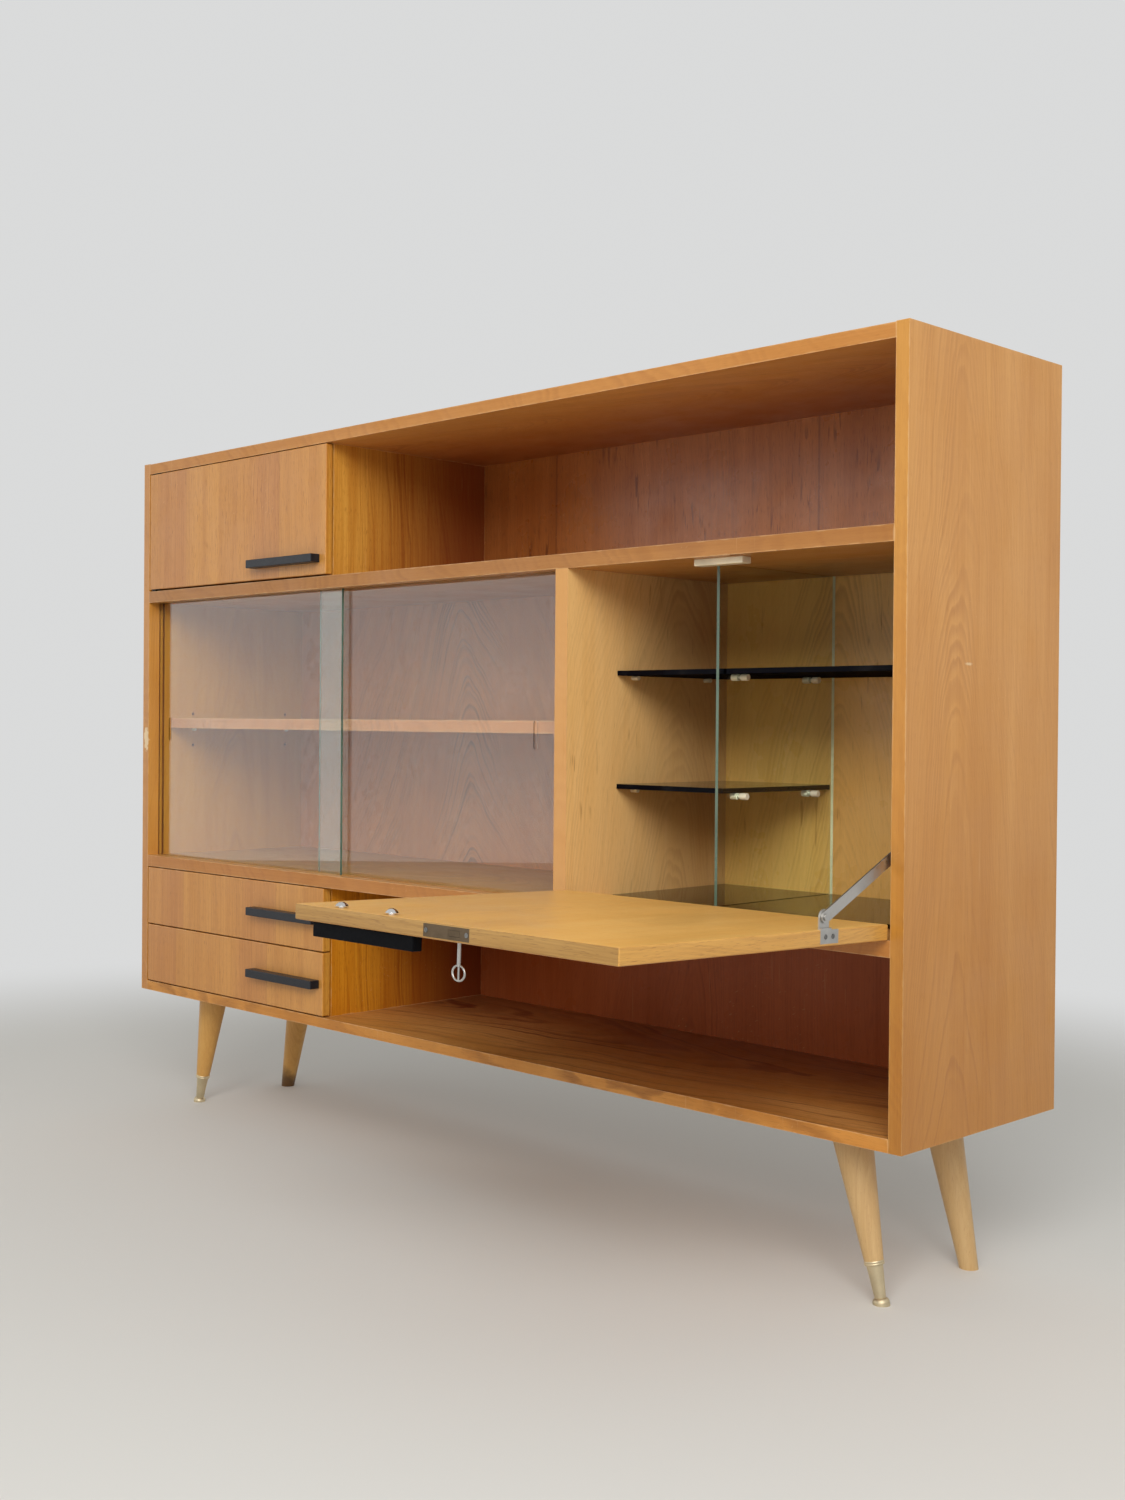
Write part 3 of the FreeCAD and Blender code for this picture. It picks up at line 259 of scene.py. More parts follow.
class SideboardFixings(PropertyGroup):
    """Sizes of the screws, nails and ground glass edges."""

    screw_radius: length("Screw head", "Radius of a screw's head", 0.0031)
    screw_crown: length("Screw crown", "How far a screw's head stands proud", 0.0004)
    screw_depth: length("Screw depth", "How deep a screw goes", 0.012)
    slot_width: length("Slot", "Width of a screw's slot", 0.0007)
    edge_skin: length("Edge skin", "Thickness of a pane's ground edge", 0.0001)
    edge_width: length("Edge width", "How far a pane's ground edge reaches round", 0.0003)
    nail_radius: length("Nail head", "Radius of a back nail's head", 0.0022)
    nail_crown: length("Nail crown", "How far a back nail's head stands proud", 0.0007)
    nail_pitch: length("Nail pitch", "Distance between back nails", 0.11)
    nail_inset: length("Nail inset", "Distance of the nails from a back board's edge", 0.0045)


class SideboardStage(PropertyGroup):
    """The floor, the light and the camera."""

    floor_colour: tone("Floor", "Pale floor", (0.700, 0.695, 0.660))
    backdrop_colour: tone("Backdrop", "Pale wall round the stage", (0.700, 0.705, 0.705))
    floor_radius: length("Floor radius", "Radius of the floor", 9.0)
    fade_start: length("Fade start", "Where the floor starts to fade into the backdrop", 1.5)
    fade_end: length("Fade end", "Where the floor has faded into the backdrop", 2.9)
    room_light: FloatProperty(
        name="Room light", description="Even light from all round", default=0.48, subtype="UNSIGNED", min=0,
    )
    key_power: power("Key", "Large soft lamp in front and above", 168.0)
    side_power: power("Side", "Soft lamp on the right", 14.0)
    window_power: power("Window", "Broad window on the left, seen in the glass", 36.0)
    focal: pixels("Focal length", "Focal length in the photograph's pixels", 1682.712)
    centre_x: pixels("Centre across", "Optical centre from the photograph's left edge", 540.385)
    centre_y: pixels("Centre down", "Optical centre from the photograph's upper edge", 738.431)
    camera_place: FloatVectorProperty(
        name="Camera place", description="Where the camera stands", subtype="XYZ", unit="LENGTH", size=3,
        default=(2.087208, -1.757402, 0.774103),
    )
    camera_yaw: angle("Yaw", "Turn to the left of straight ahead", 45.416)
    camera_pitch: angle("Pitch", "Tilt downwards", 0.569)
    camera_roll: angle("Roll", "Turn about the line of sight", -0.464)


# Node trees
class Wire:
    """One output of a node. A sum on it adds a node to its tree and gives that node's output."""

    def __init__(self, tree, socket):
        self.tree = tree
        self.socket = socket

    def __add__(self, other):
        return calc("ADD", self, other)

    def __sub__(self, other):
        return calc("SUBTRACT", self, other)

    def __rsub__(self, other):
        return calc("SUBTRACT", other, self)

    def __mul__(self, other):
        return calc("MULTIPLY", self, other)

    def __truediv__(self, other):
        return calc("DIVIDE", self, other)


class Wires:
    """All outputs of a node, by name or by place."""

    def __init__(self, tree, sockets):
        self.tree = tree
        self.sockets = sockets

    def __getitem__(self, key):
        return Wire(self.tree, self.sockets[key])


def tree_of(*values):
    """The tree of the first wire among some values."""
    return next(value.tree for value in values if isinstance(value, Wire))


def feed(socket, value):
    """Links a socket to a wire, or sets its value."""
    if isinstance(value, Wire):
        value.tree.links.new(value.socket, socket)
        return
    if socket.type == "RGBA" and len(value) == 3:
        value = (*value, 1.0)
    socket.default_value = value


def add(tree, kind, sockets=None, **settings):
    """Adds a node with its settings and its sockets' values, and gives its outputs."""
    node = tree.nodes.new(kind)
    for name, value in settings.items():
        setattr(node, name, value)
    for name, value in (sockets or {}).items():
        feed(node.inputs[name], value)
    return Wires(tree, node.outputs)


def calc(operation, *values, clamp=False):
    """The result of a sum on values, or on vectors where the first wire is one."""
    first = next(value for value in values if isinstance(value, Wire))
    sockets = dict(enumerate(values))
    if first.socket.type in ("VECTOR", "RGBA"):
        result = add(first.tree, "ShaderNodeVectorMath", sockets, operation=operation)
        return result["Value" if operation == "LENGTH" else "Vector"]
    return add(first.tree, "ShaderNodeMath", sockets, operation=operation, use_clamp=clamp)[0]


def axes_of(vector):
    """The X, Y and Z of a vector."""
    return add(vector.tree, "ShaderNodeSeparateXYZ", {0: vector})


def vector_of(x=0.0, y=0.0, z=0.0):
    """A vector put together from its X, Y and Z."""
    return add(tree_of(x, y, z), "ShaderNodeCombineXYZ", {0: x, 1: y, 2: z})[0]


def noise(vector, scale=1.0, detail=2.0, roughness=0.5, output="Fac"):
    """Noise over a vector."""
    sockets = {"Vector": vector, "Scale": scale, "Detail": detail, "Roughness": roughness}
    return add(vector.tree, "ShaderNodeTexNoise", sockets)[output]


def chance(number):
    """A random value and colour for each whole number."""
    return add(number.tree, "ShaderNodeTexWhiteNoise", {"W": number}, noise_dimensions="1D")


def ramp(value, low, high, to_low=0.0, to_high=1.0):
    """A value taken smoothly from one range to another."""
    sockets = {"Value": value, "From Min": low, "From Max": high, "To Min": to_low, "To Max": to_high}
    return add(value.tree, "ShaderNodeMapRange", sockets, interpolation_type="SMOOTHSTEP")[0]


def blend(factor, first, second, mode="MIX"):
    """Two colours mixed by a factor."""
    tree = tree_of(factor, first, second)
    return add(tree, "ShaderNodeMix", {0: factor, 6: first, 7: second}, data_type="RGBA", blend_type=mode)[2]


def new_tree(kind, name, inputs, outputs):
    """A group of nodes with its inputs, each named with its default or else its kind, and its outputs."""
    tree = bpy.data.node_groups.new(name, kind)
    plain_kinds = {float: "Float", int: "Int"}
    for label, value in inputs.items():
        plain = plain_kinds.get(type(value))
        socket = tree.interface.new_socket(label, in_out="INPUT", socket_type="NodeSocket" + (plain or value))
        if plain:
            socket.default_value = value
    for label, value in outputs.items():
        tree.interface.new_socket(label, in_out="OUTPUT", socket_type="NodeSocket" + value)
    return tree, add(tree, "NodeGroupInput"), tree.nodes.new("NodeGroupOutput").inputs


def place_group(tree, name, build, sockets):
    """Puts a shared group into a material. It is built the first time it is asked for."""
    group = bpy.data.node_groups.get(name) or build(name)
    return add(tree, "ShaderNodeGroup", sockets, node_tree=group)


def cut_sockets(cut):
    """A cut's values by the names of their sockets."""
    return {label.capitalize(): value for label, value in cut._asdict().items()}


def veneer_figure(name):
    """Growth lines, streaks and pores of sliced wood, with X across, Y through and Z along the grain."""
    tree, source, sink = new_tree(
        "ShaderNodeTree", name,
        {"Vector": "Vector", "Pale": "Color", "Warm": "Color", "Dark": "Color", **cut_sockets(CROWN)},
        {"Color": "Color", "Pore": "Float", "Height": "Float"},
    )
    place = source["Vector"]
    axes = axes_of(place)

    # Years of growth round a heart that wanders, and the dark late wood that ends each year
    wander = axes_of(noise(place * (1.5, 1.5, 1.7), detail=1.0, output="Color") - (0.5, 0.5, 0.5))
    stray = (noise(place * (16.0, 16.0, 4.5), detail=3.0) - 0.5) * (source["Warp"] * 2.0)
    from_heart = axes["X"] + wander["X"] * 0.16
    across = from_heart + source["Aside"]
    along = axes["Z"] + wander["Y"] * 0.45
    deep = source["Heart"] + axes["Y"]
    radius = calc("SQRT", across * across + deep * deep)
    years = (radius + stray + along * source["Taper"]) / source["Ring"]
    turns = years + noise(vector_of(years * 0.4), detail=1.0) * 2.2
    part = calc("FRACT", turns)
    hardness = chance(calc("FLOOR", turns))["Value"]
    late = calc("MULTIPLY", calc("POWER", part, 2.5) * (1.0 - part), 6.0, clamp=True)
    ring = late * ramp(hardness, 0.0, 1.0, 0.15, 1.0)

    # The lines fade away from the heart and in clouds
    near = ramp(calc("ABSOLUTE", from_heart), 0.02, 0.14, 1.0, 0.45)
    cloud = noise(place * (6.0, 6.0, 2.4), detail=4.0, roughness=0.6)
    lines = ring * source["Figure"] * (ramp(cloud, 0.30, 0.65, 0.25, 1.0) * near)

    # Streaks and clouds take the body from its warm to its pale colour
    fine = noise(place * (270.0, 270.0, 4.0), detail=3.0, roughness=0.65)
    broad = noise(place * (34.0, 34.0, 0.8), detail=3.0)
    streak = (fine - 0.5 + (broad - 0.5)) * source["Streaks"]
    shade = (cloud - 0.5) * source["Drift"]
    paleness = calc("ADD", (streak + shade) * 2.2, 0.5, clamp=True)
    body = blend(paleness, source["Warm"], source["Pale"])

    # Pores all over, and larger flecks in patches
    pore = ramp(noise(place * (1400.0, 1400.0, 60.0), detail=1.0), 0.60, 0.74)
    many = noise(place * (150.0, 150.0, 15.0), detail=1.0) + source["Flecks"] * 0.065
    fleck = ramp(many, 0.69, 0.75) * ramp(noise(place * (9.0, 9.0, 5.0)), 0.50, 0.60)
    flecks = pore * source["Pores"] + fleck * (source["Flecks"] * 0.55)
    feed(sink["Color"], blend(calc("ADD", lines, flecks, clamp=True), body, source["Dark"]))
    feed(sink["Pore"], pore)
    feed(sink["Height"], 1.0 - (flecks * 0.8 + lines * 0.25))
    return tree


def veneer_leaves(name):
    """Leaves of veneer side by side across X: a shift for each leaf, its rosy side and the joint's line."""
    tree, source, sink = new_tree(
        "ShaderNodeTree", name,
        {"Vector": "Vector", "Width": 0.3, "Start": 0.0, "Shade": 0.001},
        {"Vector": "Vector", "Rosy": "Float", "Joint": "Float"},
    )
    place = source["Vector"]
    count = (axes_of(place)["X"] - source["Start"]) / source["Width"]
    leaf = calc("FLOOR", count)
    feed(sink["Vector"], place + chance(leaf)["Color"] * (0.0, 0.0, 1.7))
    rest = calc("FRACT", count)
    uneven = noise(place * (30.0, 30.0, 1.2)) - 0.5
    feed(sink["Rosy"], ramp(rest + uneven * 0.35, 0.52, 0.80))
    gap = calc("MINIMUM", rest, 1.0 - rest) * source["Width"]
    feed(sink["Joint"], ramp(gap, 0.0, source["Shade"], 1.0, 0.0))
    return tree


def board_arris(name):
    """Wear along a board's arrises and a mask for the painted shade in its grooves and holes, from the
    distance to its box's faces.
    """
    tree, source, sink = new_tree(
        "ShaderNodeTree", name,
        {"Vector": "Vector", "Low": "Vector", "High": "Vector", "Width": 0.002},
        {"Wear": "Float", "Hollow": "Float"},
    )
    place = source["Vector"]
    near = axes_of(calc("MINIMUM", place - source["Low"], source["High"] - place))
    lesser = calc("MINIMUM", near["X"], near["Y"])
    greater = calc("MAXIMUM", near["X"], near["Y"])
    second = calc("MAXIMUM", lesser, calc("MINIMUM", greater, near["Z"]))
    feed(sink["Hollow"], ramp(calc("MINIMUM", lesser, near["Z"]), 0.0008, 0.0020))
    rub = noise(place, scale=55.0, detail=3.0)
    width = source["Width"] * ramp(rub, 0.35, 0.75, 0.35, 1.6)
    feed(sink["Wear"], calc("SUBTRACT", 1.0, second / width, clamp=True))
    return tree


def handling(name):
    """Hairline scratches and the cloudy touch marks of years of use."""
    tree, source, sink = new_tree(
        "ShaderNodeTree", name,
        {"Vector": "Vector", "Scratches": SCRATCHES},
        {"Scratch": "Float", "Touch": "Float"},
    )
    place = source["Vector"]
    marks = []
    for turn, offset in ((0.5, 3.1), (2.2, 7.7)):
        lean = {"Vector": place, "Location": (offset, offset, offset), "Rotation": (turn, turn * 0.7, turn)}
        leaning = add(tree, "ShaderNodeMapping", lean)[0]
        thin = ramp(noise(leaning * (9.0, 420.0, 420.0), detail=0.0), 0.77, 0.82)
        some = ramp(noise(leaning, scale=6.0, detail=1.0), 0.55, 0.65)
        marks.append(thin * some)
    feed(sink["Scratch"], calc("MAXIMUM", *marks) * source["Scratches"])
    feed(sink["Touch"], noise(place, scale=9.0, detail=4.0, roughness=0.6))
    return tree


# Colours
def tones_of(wood):
    """The three colours of a wood, light to dark."""
    finish = bpy.context.scene.sideboard_finish
    return [tuple(getattr(finish, wood + "_" + shade)) for shade in ("pale", "warm", "dark")]


def dyed(tones, shares):
    """A wood's colours with each channel times its share."""
    return [tuple(channel * share for channel, share in zip(colour, shares)) for colour in tones]


def dimmed(colour, share):
    """A colour with all its channels times a share."""
    return tuple(channel * share for channel in colour)


# Materials
def new_material(name):
    """A material with its shader's sockets and its coordinates."""
    material = bpy.data.materials.new(name)
    material.use_nodes = True
    tree = material.node_tree
    tree.nodes.clear()
    shader = tree.nodes.new("ShaderNodeBsdfPrincipled")
    sink = tree.nodes.new("ShaderNodeOutputMaterial")
    tree.links.new(shader.outputs[0], sink.inputs["Surface"])
    return material, shader.inputs, add(tree, "ShaderNodeTexCoord")


def mix_surface(tree, factor, other):
    """Mixes another shader over a material's own by a factor."""
    surface = next(node for node in tree.nodes if node.type == "OUTPUT_MATERIAL").inputs["Surface"]
    own = Wire(tree, surface.links[0].from_socket)
    feed(surface, add(tree, "ShaderNodeMixShader", {0: factor, 1: own, 2: other})[0])


def wear_skin(shader, height, strength, distance):
    """Feeds a height to the shader's normal."""
    sockets = {"Height": height, "Strength": strength, "Distance": distance}
    feed(shader["Normal"], add(height.tree, "ShaderNodeBump", sockets)[0])


def dress(material, *names):
    """Gives pieces of the frame their finish."""
    for name in names:
        slots = NODES[name].data.materials
        slots.clear()
        slots.append(material)


def grain_place(coords, lie, origin):
    """Object coordinates turned so that X is across, Y through and Z along the grain."""
    axes = axes_of(coords["Object"] - tuple(origin))
    return vector_of(*(axes[axis] for axis in lie))


def figured(place, tones, cut):
    """Puts a wood's figure into a material, cut in one way."""
    pale, warm, dark = tones
    sockets = {"Vector": place, "Pale": pale, "Warm": warm, "Dark": dark, **cut_sockets(cut)}
    return place_group(place.tree, "Veneer Figure", veneer_figure, sockets)


def facing(coords, axis, sign):
    """A mask of the faces that look one way, in the board's own frame."""
    return calc("GREATER_THAN", axes_of(coords["Normal"])[axis] * sign, 0.5)


def painted_depth_shade(coords, colour, axis, sign, amount):
    """Paints shade on a board's inner face, darker towards the back of its bay."""
    deep = ramp(axes_of(coords["Object"])["Y"], SHADE_STARTS_AT, SHADE_FULL_AT, 0.0, amount)
    return blend(deep * facing(coords, axis, sign), colour, bpy.context.scene.sideboard_finish.inside_dark)


def edged(coords, colour, axis, sign, lie, corner, tones):
    """Lays striped wood of its own on a board's faces that look one way."""
    wood = figured(grain_place(coords, lie, corner), tones, STRIPE)["Color"]
    return blend(facing(coords, axis, sign), colour, wood)


def bared(coords, colour, spot):
    """Bares the wood at one spot, where the finish is chipped or rubbed off."""
    ragged = noise(coords["Object"], scale=spot.grain, detail=3.0)
    reach = calc("LENGTH", (coords["Object"] - spot.place) * spot.ends)
    bare = ramp(reach + ragged * spot.ragged, spot.start, spot.end, spot.bare, 0.0)
    return blend(bare, colour, BARE_WOOD)


def timber(name, board, lie, tones, cut, seed, leaves=None, rosy=0.0, gloss=0.36, sheen=0.5, wear=0.0016,
           lip=None, inside=None, hollow=0.0):
    """Lacquers one board: figure, leaves, lipped front, painted shade inside and in grooves, worn arrises and
    touch marks.

    Returns its shader's sockets, coordinates and colour, for what a board has of its own.
    """
    finish = bpy.context.scene.sideboard_finish
    material, shader, coords = new_material(name)
    low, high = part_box(board)
    across = "XYZ".index(lie[0])
    along = "XYZ".index(lie[2])

    # Each seed takes its leaf from another place in the log
    origin = (low + high) / 2
    origin[across] += (high - low)[across] * HEART_SWAY * math.sin(seed * 2.1 + 0.6)
    origin[along] -= seed * LOG_STEP
    place = grain_place(coords, lie, origin)
    if leaves:
        sockets = {"Vector": place, "Width": leaves.width, "Shade": leaves.shade}
        sockets["Start"] = leaves.joint - origin[across]
        leaf = place_group(coords.tree, "Veneer Leaves", veneer_leaves, sockets)
        place = leaf["Vector"]
    figure = figured(place, tones, cut)
    sockets = {"Vector": coords["Object"], "Low": tuple(low), "High": tuple(high), "Width": wear}
    arris = place_group(coords.tree, "Board Arris", board_arris, sockets)
    sockets = {"Vector": coords["Object"], "Scratches": SCRATCHES}
    marks = place_group(coords.tree, "Handling", handling, sockets)

    colour = figure["Color"]
    if leaves:
        colour = blend(leaf["Rosy"] * rosy, colour, ROSY, "MULTIPLY")
        colour = blend(leaf["Joint"] * JOINT_SHADE, colour, tones[2])
    if lip:
        colour = blend(facing(coords, "Y", -1.0), colour, lip, "MULTIPLY")
    # Painted shade: the inner face darkens towards the back of its bay
    if inside:
        colour = painted_depth_shade(coords, colour, *inside)
    # Painted shade in grooves and holes
    if hollow:
        colour = blend(arris["Hollow"] * hollow, colour, finish.inside_dark)
    rubbed = calc("MAXIMUM", arris["Wear"] * ARRIS_WEAR, marks["Scratch"] * SCRATCH_WEAR)
    colour = blend(rubbed, colour, finish.worn_edge)
    feed(shader["Base Color"], colour)
    touched = ramp(marks["Touch"], 0.3, 0.75, gloss - 0.06, gloss + 0.10)
    feed(shader["Roughness"], touched + figure["Pore"] * PORE_DULLNESS)
    feed(shader["Specular IOR Level"], sheen)
    wear_skin(shader, figure["Height"], GRAIN_BUMP, GRAIN_DEPTH)
    dress(material, board)
    return shader, coords, colour


def cloudy_material(name, colour, rough, stain, metallic=0.0, sheen=0.5, spread=0.10, grain=180.0):
    """A finish with cloudy tone and roughness, for metal and plastic."""
    material, shader, coords = new_material(name)
    mottle = noise(coords["Object"], scale=grain, detail=4.0, roughness=0.6)
    patch = noise(coords["Object"], scale=grain / 9)
    feed(shader["Base Color"], blend(ramp(patch, 0.35, 0.7) * stain, colour, dimmed(colour, STAIN_SHADE)))
    feed(shader["Roughness"], ramp(mottle, 0.3, 0.7, max(rough - spread, 0.02), rough + spread))
    feed(shader["Metallic"], metallic)
    feed(shader["Specular IOR Level"], sheen)
    wear_skin(shader, mottle, SKIN_BUMP, SKIN_DEPTH)
    return material


def glass_material(name, colour, bend=1.5, coat=0.0):
    """Clear glass that lets the lamps through, with a faint film of dust and finger marks."""
    material, shader, coords = new_material(name)
    feed(shader["Base Color"], colour)
    feed(shader["Transmission Weight"], 1.0)
    feed(shader["IOR"], bend)
    feed(shader["Coat Weight"], coat)
    film = noise(coords["Object"], scale=14.0, detail=5.0, roughness=0.65)
    feed(shader["Roughness"], ramp(film, 0.45, 0.75, 0.0, GLASS_HAZE))
    clear = add(coords.tree, "ShaderNodeBsdfTransparent", {"Color": dimmed(colour, GLASS_SHADOW)})[0]
    mix_surface(coords.tree, add(coords.tree, "ShaderNodeLightPath")["Is Shadow Ray"], clear)
    return material


def dark_glass_material(name, colour, sheen, tint=(1.0, 1.0, 1.0)):
    """Dark glass with a little dust on it, polished above and ground matt below."""
    material, shader, coords = new_material(name)
    dust = noise(coords["Object"], scale=18.0, detail=6.0, roughness=0.6)
    feed(shader["Base Color"], blend(ramp(dust, 0.50, 0.80, 0.0, 0.03), colour, DUST))
    polish = ramp(dust, 0.40, 0.80, 0.03, 0.11)
    feed(shader["Roughness"], polish + facing(coords, "Z", -1.0) * GROUND_ROUGHNESS)
    feed(shader["Specular IOR Level"], sheen)
    feed(shader["Specular Tint"], tint)
    return material


# New pieces
def outward(mesh):
    """Turns a mesh's faces outwards."""
    work = bmesh.new()
    work.from_mesh(mesh)
    bmesh.ops.recalc_face_normals(work, faces=work.faces)
    work.to_mesh(mesh)
    work.free()


def add_piece(name, mesh, body):
    """A new piece that rides on a body and keeps the finish of its mesh."""
    piece = bpy.data.objects.new(name, mesh)
    bpy.context.scene.collection.objects.link(piece)
    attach(piece, body)
    return piece


def grown_piece(name, data, group, sizes, body):
    """A new piece from a geometry tree on points or a path, kept as a plain mesh."""
    carrier = bpy.data.objects.new(data.name, data)
    bpy.context.scene.collection.objects.link(carrier)
    modifier = carrier.modifiers.new(group.name, "NODES")
    modifier.node_group = group
    for item in group.interface.items_tree:
        if item.in_out == "INPUT" and item.name in sizes:
            modifier[item.identifier] = sizes[item.name]
    bpy.context.view_layer.update()
    graph = bpy.context.evaluated_depsgraph_get()
    mesh = bpy.data.meshes.new_from_object(carrier.evaluated_get(graph))
    mesh.name = name
    bpy.data.objects.remove(carrier)
    return add_piece(name, mesh, body)


def finish_instances(sink, instances, material):
    """Ends a geometry tree: real geometry with its material."""
    real = add(instances.tree, "GeometryNodeRealizeInstances", {"Geometry": instances})[0]
    dressed = add(instances.tree, "GeometryNodeSetMaterial", {"Geometry": real, "Material": material})[0]
    feed(sink["Geometry"], dressed)


def screw_tree(name, material):
    """Slotted screws on points: each point's aim is the way its head looks."""
    sizes = {"Head Radius": 0.003, "Crown": 0.0004, "Depth": 0.012, "Slot Width": 0.0007, "Seed": 4}
    tree, source, sink = new_tree(
        "GeometryNodeTree", name, {"Geometry": "Geometry", **sizes}, {"Geometry": "Geometry"},
    )
    radius = source["Head Radius"]
    crown = source["Crown"]

    # A flat head, a tapered shank below it and a slot cut across the head
    flat = {"Vertices": 28, "Radius": radius, "Depth": crown * 4.0}
    disc = add(tree, "GeometryNodeMeshCylinder", flat)["Mesh"]
    sunk = {"Geometry": disc, "Translation": vector_of(z=crown * -1.0)}
    head = add(tree, "GeometryNodeTransform", sunk)[0]
    taper = {"Radius Top": radius * 0.25, "Radius Bottom": radius * 0.55, "Depth": source["Depth"]}
    cone = add(tree, "GeometryNodeMeshCone", {"Vertices": 16, **taper})["Mesh"]
    shank = add(tree, "GeometryNodeTransform", {"Geometry": cone, "Rotation": (math.pi, 0.0, 0.0)})[0]
    size = vector_of(radius * 3.0, source["Slot Width"], crown * 3.6)
    bar = add(tree, "GeometryNodeMeshCube", {"Size": size})["Mesh"]
    raised = {"Geometry": bar, "Translation": vector_of(z=crown * 1.6)}
    slot = add(tree, "GeometryNodeTransform", raised)[0]
    cut = add(tree, "GeometryNodeMeshBoolean", {"Mesh 1": head, "Mesh 2": slot}, operation="DIFFERENCE")[0]
    whole = tree.nodes.new("GeometryNodeJoinGeometry")
    for half in (cut, shank):
        feed(whole.inputs[0], half)

    # Each screw looks its point's way, with its slot left at any angle
    aim = add(tree, "GeometryNodeInputNamedAttribute", {"Name": "aim"}, data_type="FLOAT_VECTOR")[0]
    look = add(tree, "FunctionNodeAlignRotationToVector", {"Vector": aim}, axis="Z")[0]
    angles = add(tree, "FunctionNodeRandomValue", {"Seed": source["Seed"], 3: math.pi}, data_type="FLOAT")[1]
    spin = add(tree, "FunctionNodeAxisAngleToRotation", {"Angle": angles})[0]
    turns = {"Rotation": look, "Rotate By": spin}
    turn = add(tree, "FunctionNodeRotateRotation", turns, rotation_space="LOCAL")[0]
    screws = {"Points": source["Geometry"], "Instance": Wire(tree, whole.outputs[0]), "Rotation": turn}
    finish_instances(sink, add(tree, "GeometryNodeInstanceOnPoints", screws)[0], material)
    return tree


def nail_tree(name, material):
    """Small flat-crowned nails at even steps along a path."""
    sizes = {"Head Radius": 0.002, "Crown": 0.0007, "Pitch": 0.11}
    tree, source, sink = new_tree(
        "GeometryNodeTree", name, {"Geometry": "Geometry", **sizes}, {"Geometry": "Geometry"},
    )
    path = {"Curve": source["Geometry"], "Length": source["Pitch"]}
    steps = add(tree, "GeometryNodeResampleCurve", path, mode="LENGTH")[0]
    radius = source["Head Radius"]
    taper = {"Radius Bottom": radius, "Radius Top": radius * 0.6, "Depth": source["Crown"]}
    cone = add(tree, "GeometryNodeMeshCone", {"Vertices": 12, **taper})["Mesh"]
    head = add(tree, "GeometryNodeTransform", {"Geometry": cone, "Rotation": (-math.pi / 2, 0.0, 0.0)})[0]
    nails = add(tree, "GeometryNodeInstanceOnPoints", {"Points": steps, "Instance": head})[0]
    finish_instances(sink, nails, material)
    return tree


class SIDEBOARD_OT_carcass(Operator):
    """Veneers the side boards, top, bottom, shelves and dividers"""

    bl_idname = "sideboard.carcass"
    bl_label = "Carcass"

    def execute(self, context):
        honey = tones_of("honey")
        deep = [*honey[:2], tones_of("back")[2]]
        golden = tones_of("golden")
        # Painted shade: a redder copy of the golden veneer for the drawer divider in the warm shade of the
        # low bay
        shaded_golden = dyed(golden, LOW_BAY_WARM_SHADE)
        # Board, lie, colours, cut, seed, lipping, the inner face with painted shade towards the back and how
        # dark it is, sheen
        boards = (
            ("top_panel", LYING, honey, CROWN, 2.0, LIPPING, ("Z", -1.0, 0.55), 0.3),
            ("bottom_panel", LYING, deep, WAVY_CROWN, 3.3, BOTTOM_LIPPING, ("Z", 1.0, 0.60), 0.3),
            ("upper_shelf", LYING, honey, CROWN, 4.1, UPPER_LIPPING, None, 0.4),
            ("lower_shelf", LYING, honey, CROWN, 5.6, LOWER_LIPPING, ("Z", -1.0, 0.60), 0.4),
            ("display_shelf", LYING, tones_of("display"), CROWN, 6.2, None, None, 0.4),
            ("cupboard_divider", UPRIGHT_SIDE, golden, BOLD_STRIPE, 7.0, None, ("X", 1.0, 0.80), 0.2),
            ("drawer_divider", UPRIGHT_SIDE, shaded_golden, BOLD_STRIPE, 8.5, None, ("X", 1.0, 0.85), 0.15),
        )
        for board, lie, tones, cut, seed, lip, inside, sheen in boards:
            looks = {"lip": lip, "inside": inside, "sheen": sheen, "hollow": PAINTED_GROOVE_SHADE}
            timber("veneer_" + board, board, lie, tones, cut, seed, **looks)
        self.left_side(honey)
        self.right_side(honey)
        return {"FINISHED"}

    def left_side(self, honey):
        """The left side board, yellowed behind the glass, with a chip broken out of its front edge."""
        board = "side_panel_left"
        shader, coords, colour = timber(
            "veneer_" + board, board, UPRIGHT_SIDE, honey, SOFT_CROWN, 1.1, lip=LIPPING, hollow=PAINTED_GROOVE_SHADE,
        )
        colour = blend(facing(coords, "X", 1.0), colour, YELLOWED, "MULTIPLY")
        feed(shader["Base Color"], bared(coords, colour, CHIP))

    def right_side(self, honey):
        """The right side board, with painted shade darker towards the floor, and a small rubbed mark."""
        board = "side_panel_right"
        shader, coords, colour = timber(
            "veneer_" + board, board, UPRIGHT_SIDE, honey, SOFT_CROWN, 2.0, lip=GOLDEN_LIPPING,
        )
        height = axes_of(coords["Object"])["Z"]
        # Painted shade: the board darkens towards the floor
        colour = blend(ramp(height, SIDE_LOW.z, LOW_SHADE_TOP, 1.0, 0.0), colour, LOW_PAINTED_SHADE, "MULTIPLY")
        feed(shader["Base Color"], bared(coords, colour, RUBBED))


class SIDEBOARD_OT_fronts(Operator):
    """Veneers the cupboard door and the drawer fronts in upright leaves"""

    bl_idname = "sideboard.fronts"
    bl_label = "Door and drawer fronts"

    def execute(self, context):
        front = tones_of("front")
        golden = tones_of("golden")
        # Board, seed and the place of a joint between two leaves
        boards = (
            ("door_panel", 0.3, FRONT_LEAVES.joint),
            ("drawer_upper_front", 2.6, -0.749),
            ("drawer_lower_front", 4.4, -0.776),
        )
        for board, seed, joint in boards:
            leaves = FRONT_LEAVES._replace(joint=joint)
            shader, coords, colour = timber(
                "veneer_" + board, board, UPRIGHT_FRONT, front, STRIPE, seed, leaves, rosy=0.55,
            )
            colour = edged(coords, colour, "X", 1.0, UPRIGHT_SIDE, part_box(board)[0], golden)
            feed(shader["Base Color"], colour)
        return {"FINISHED"}


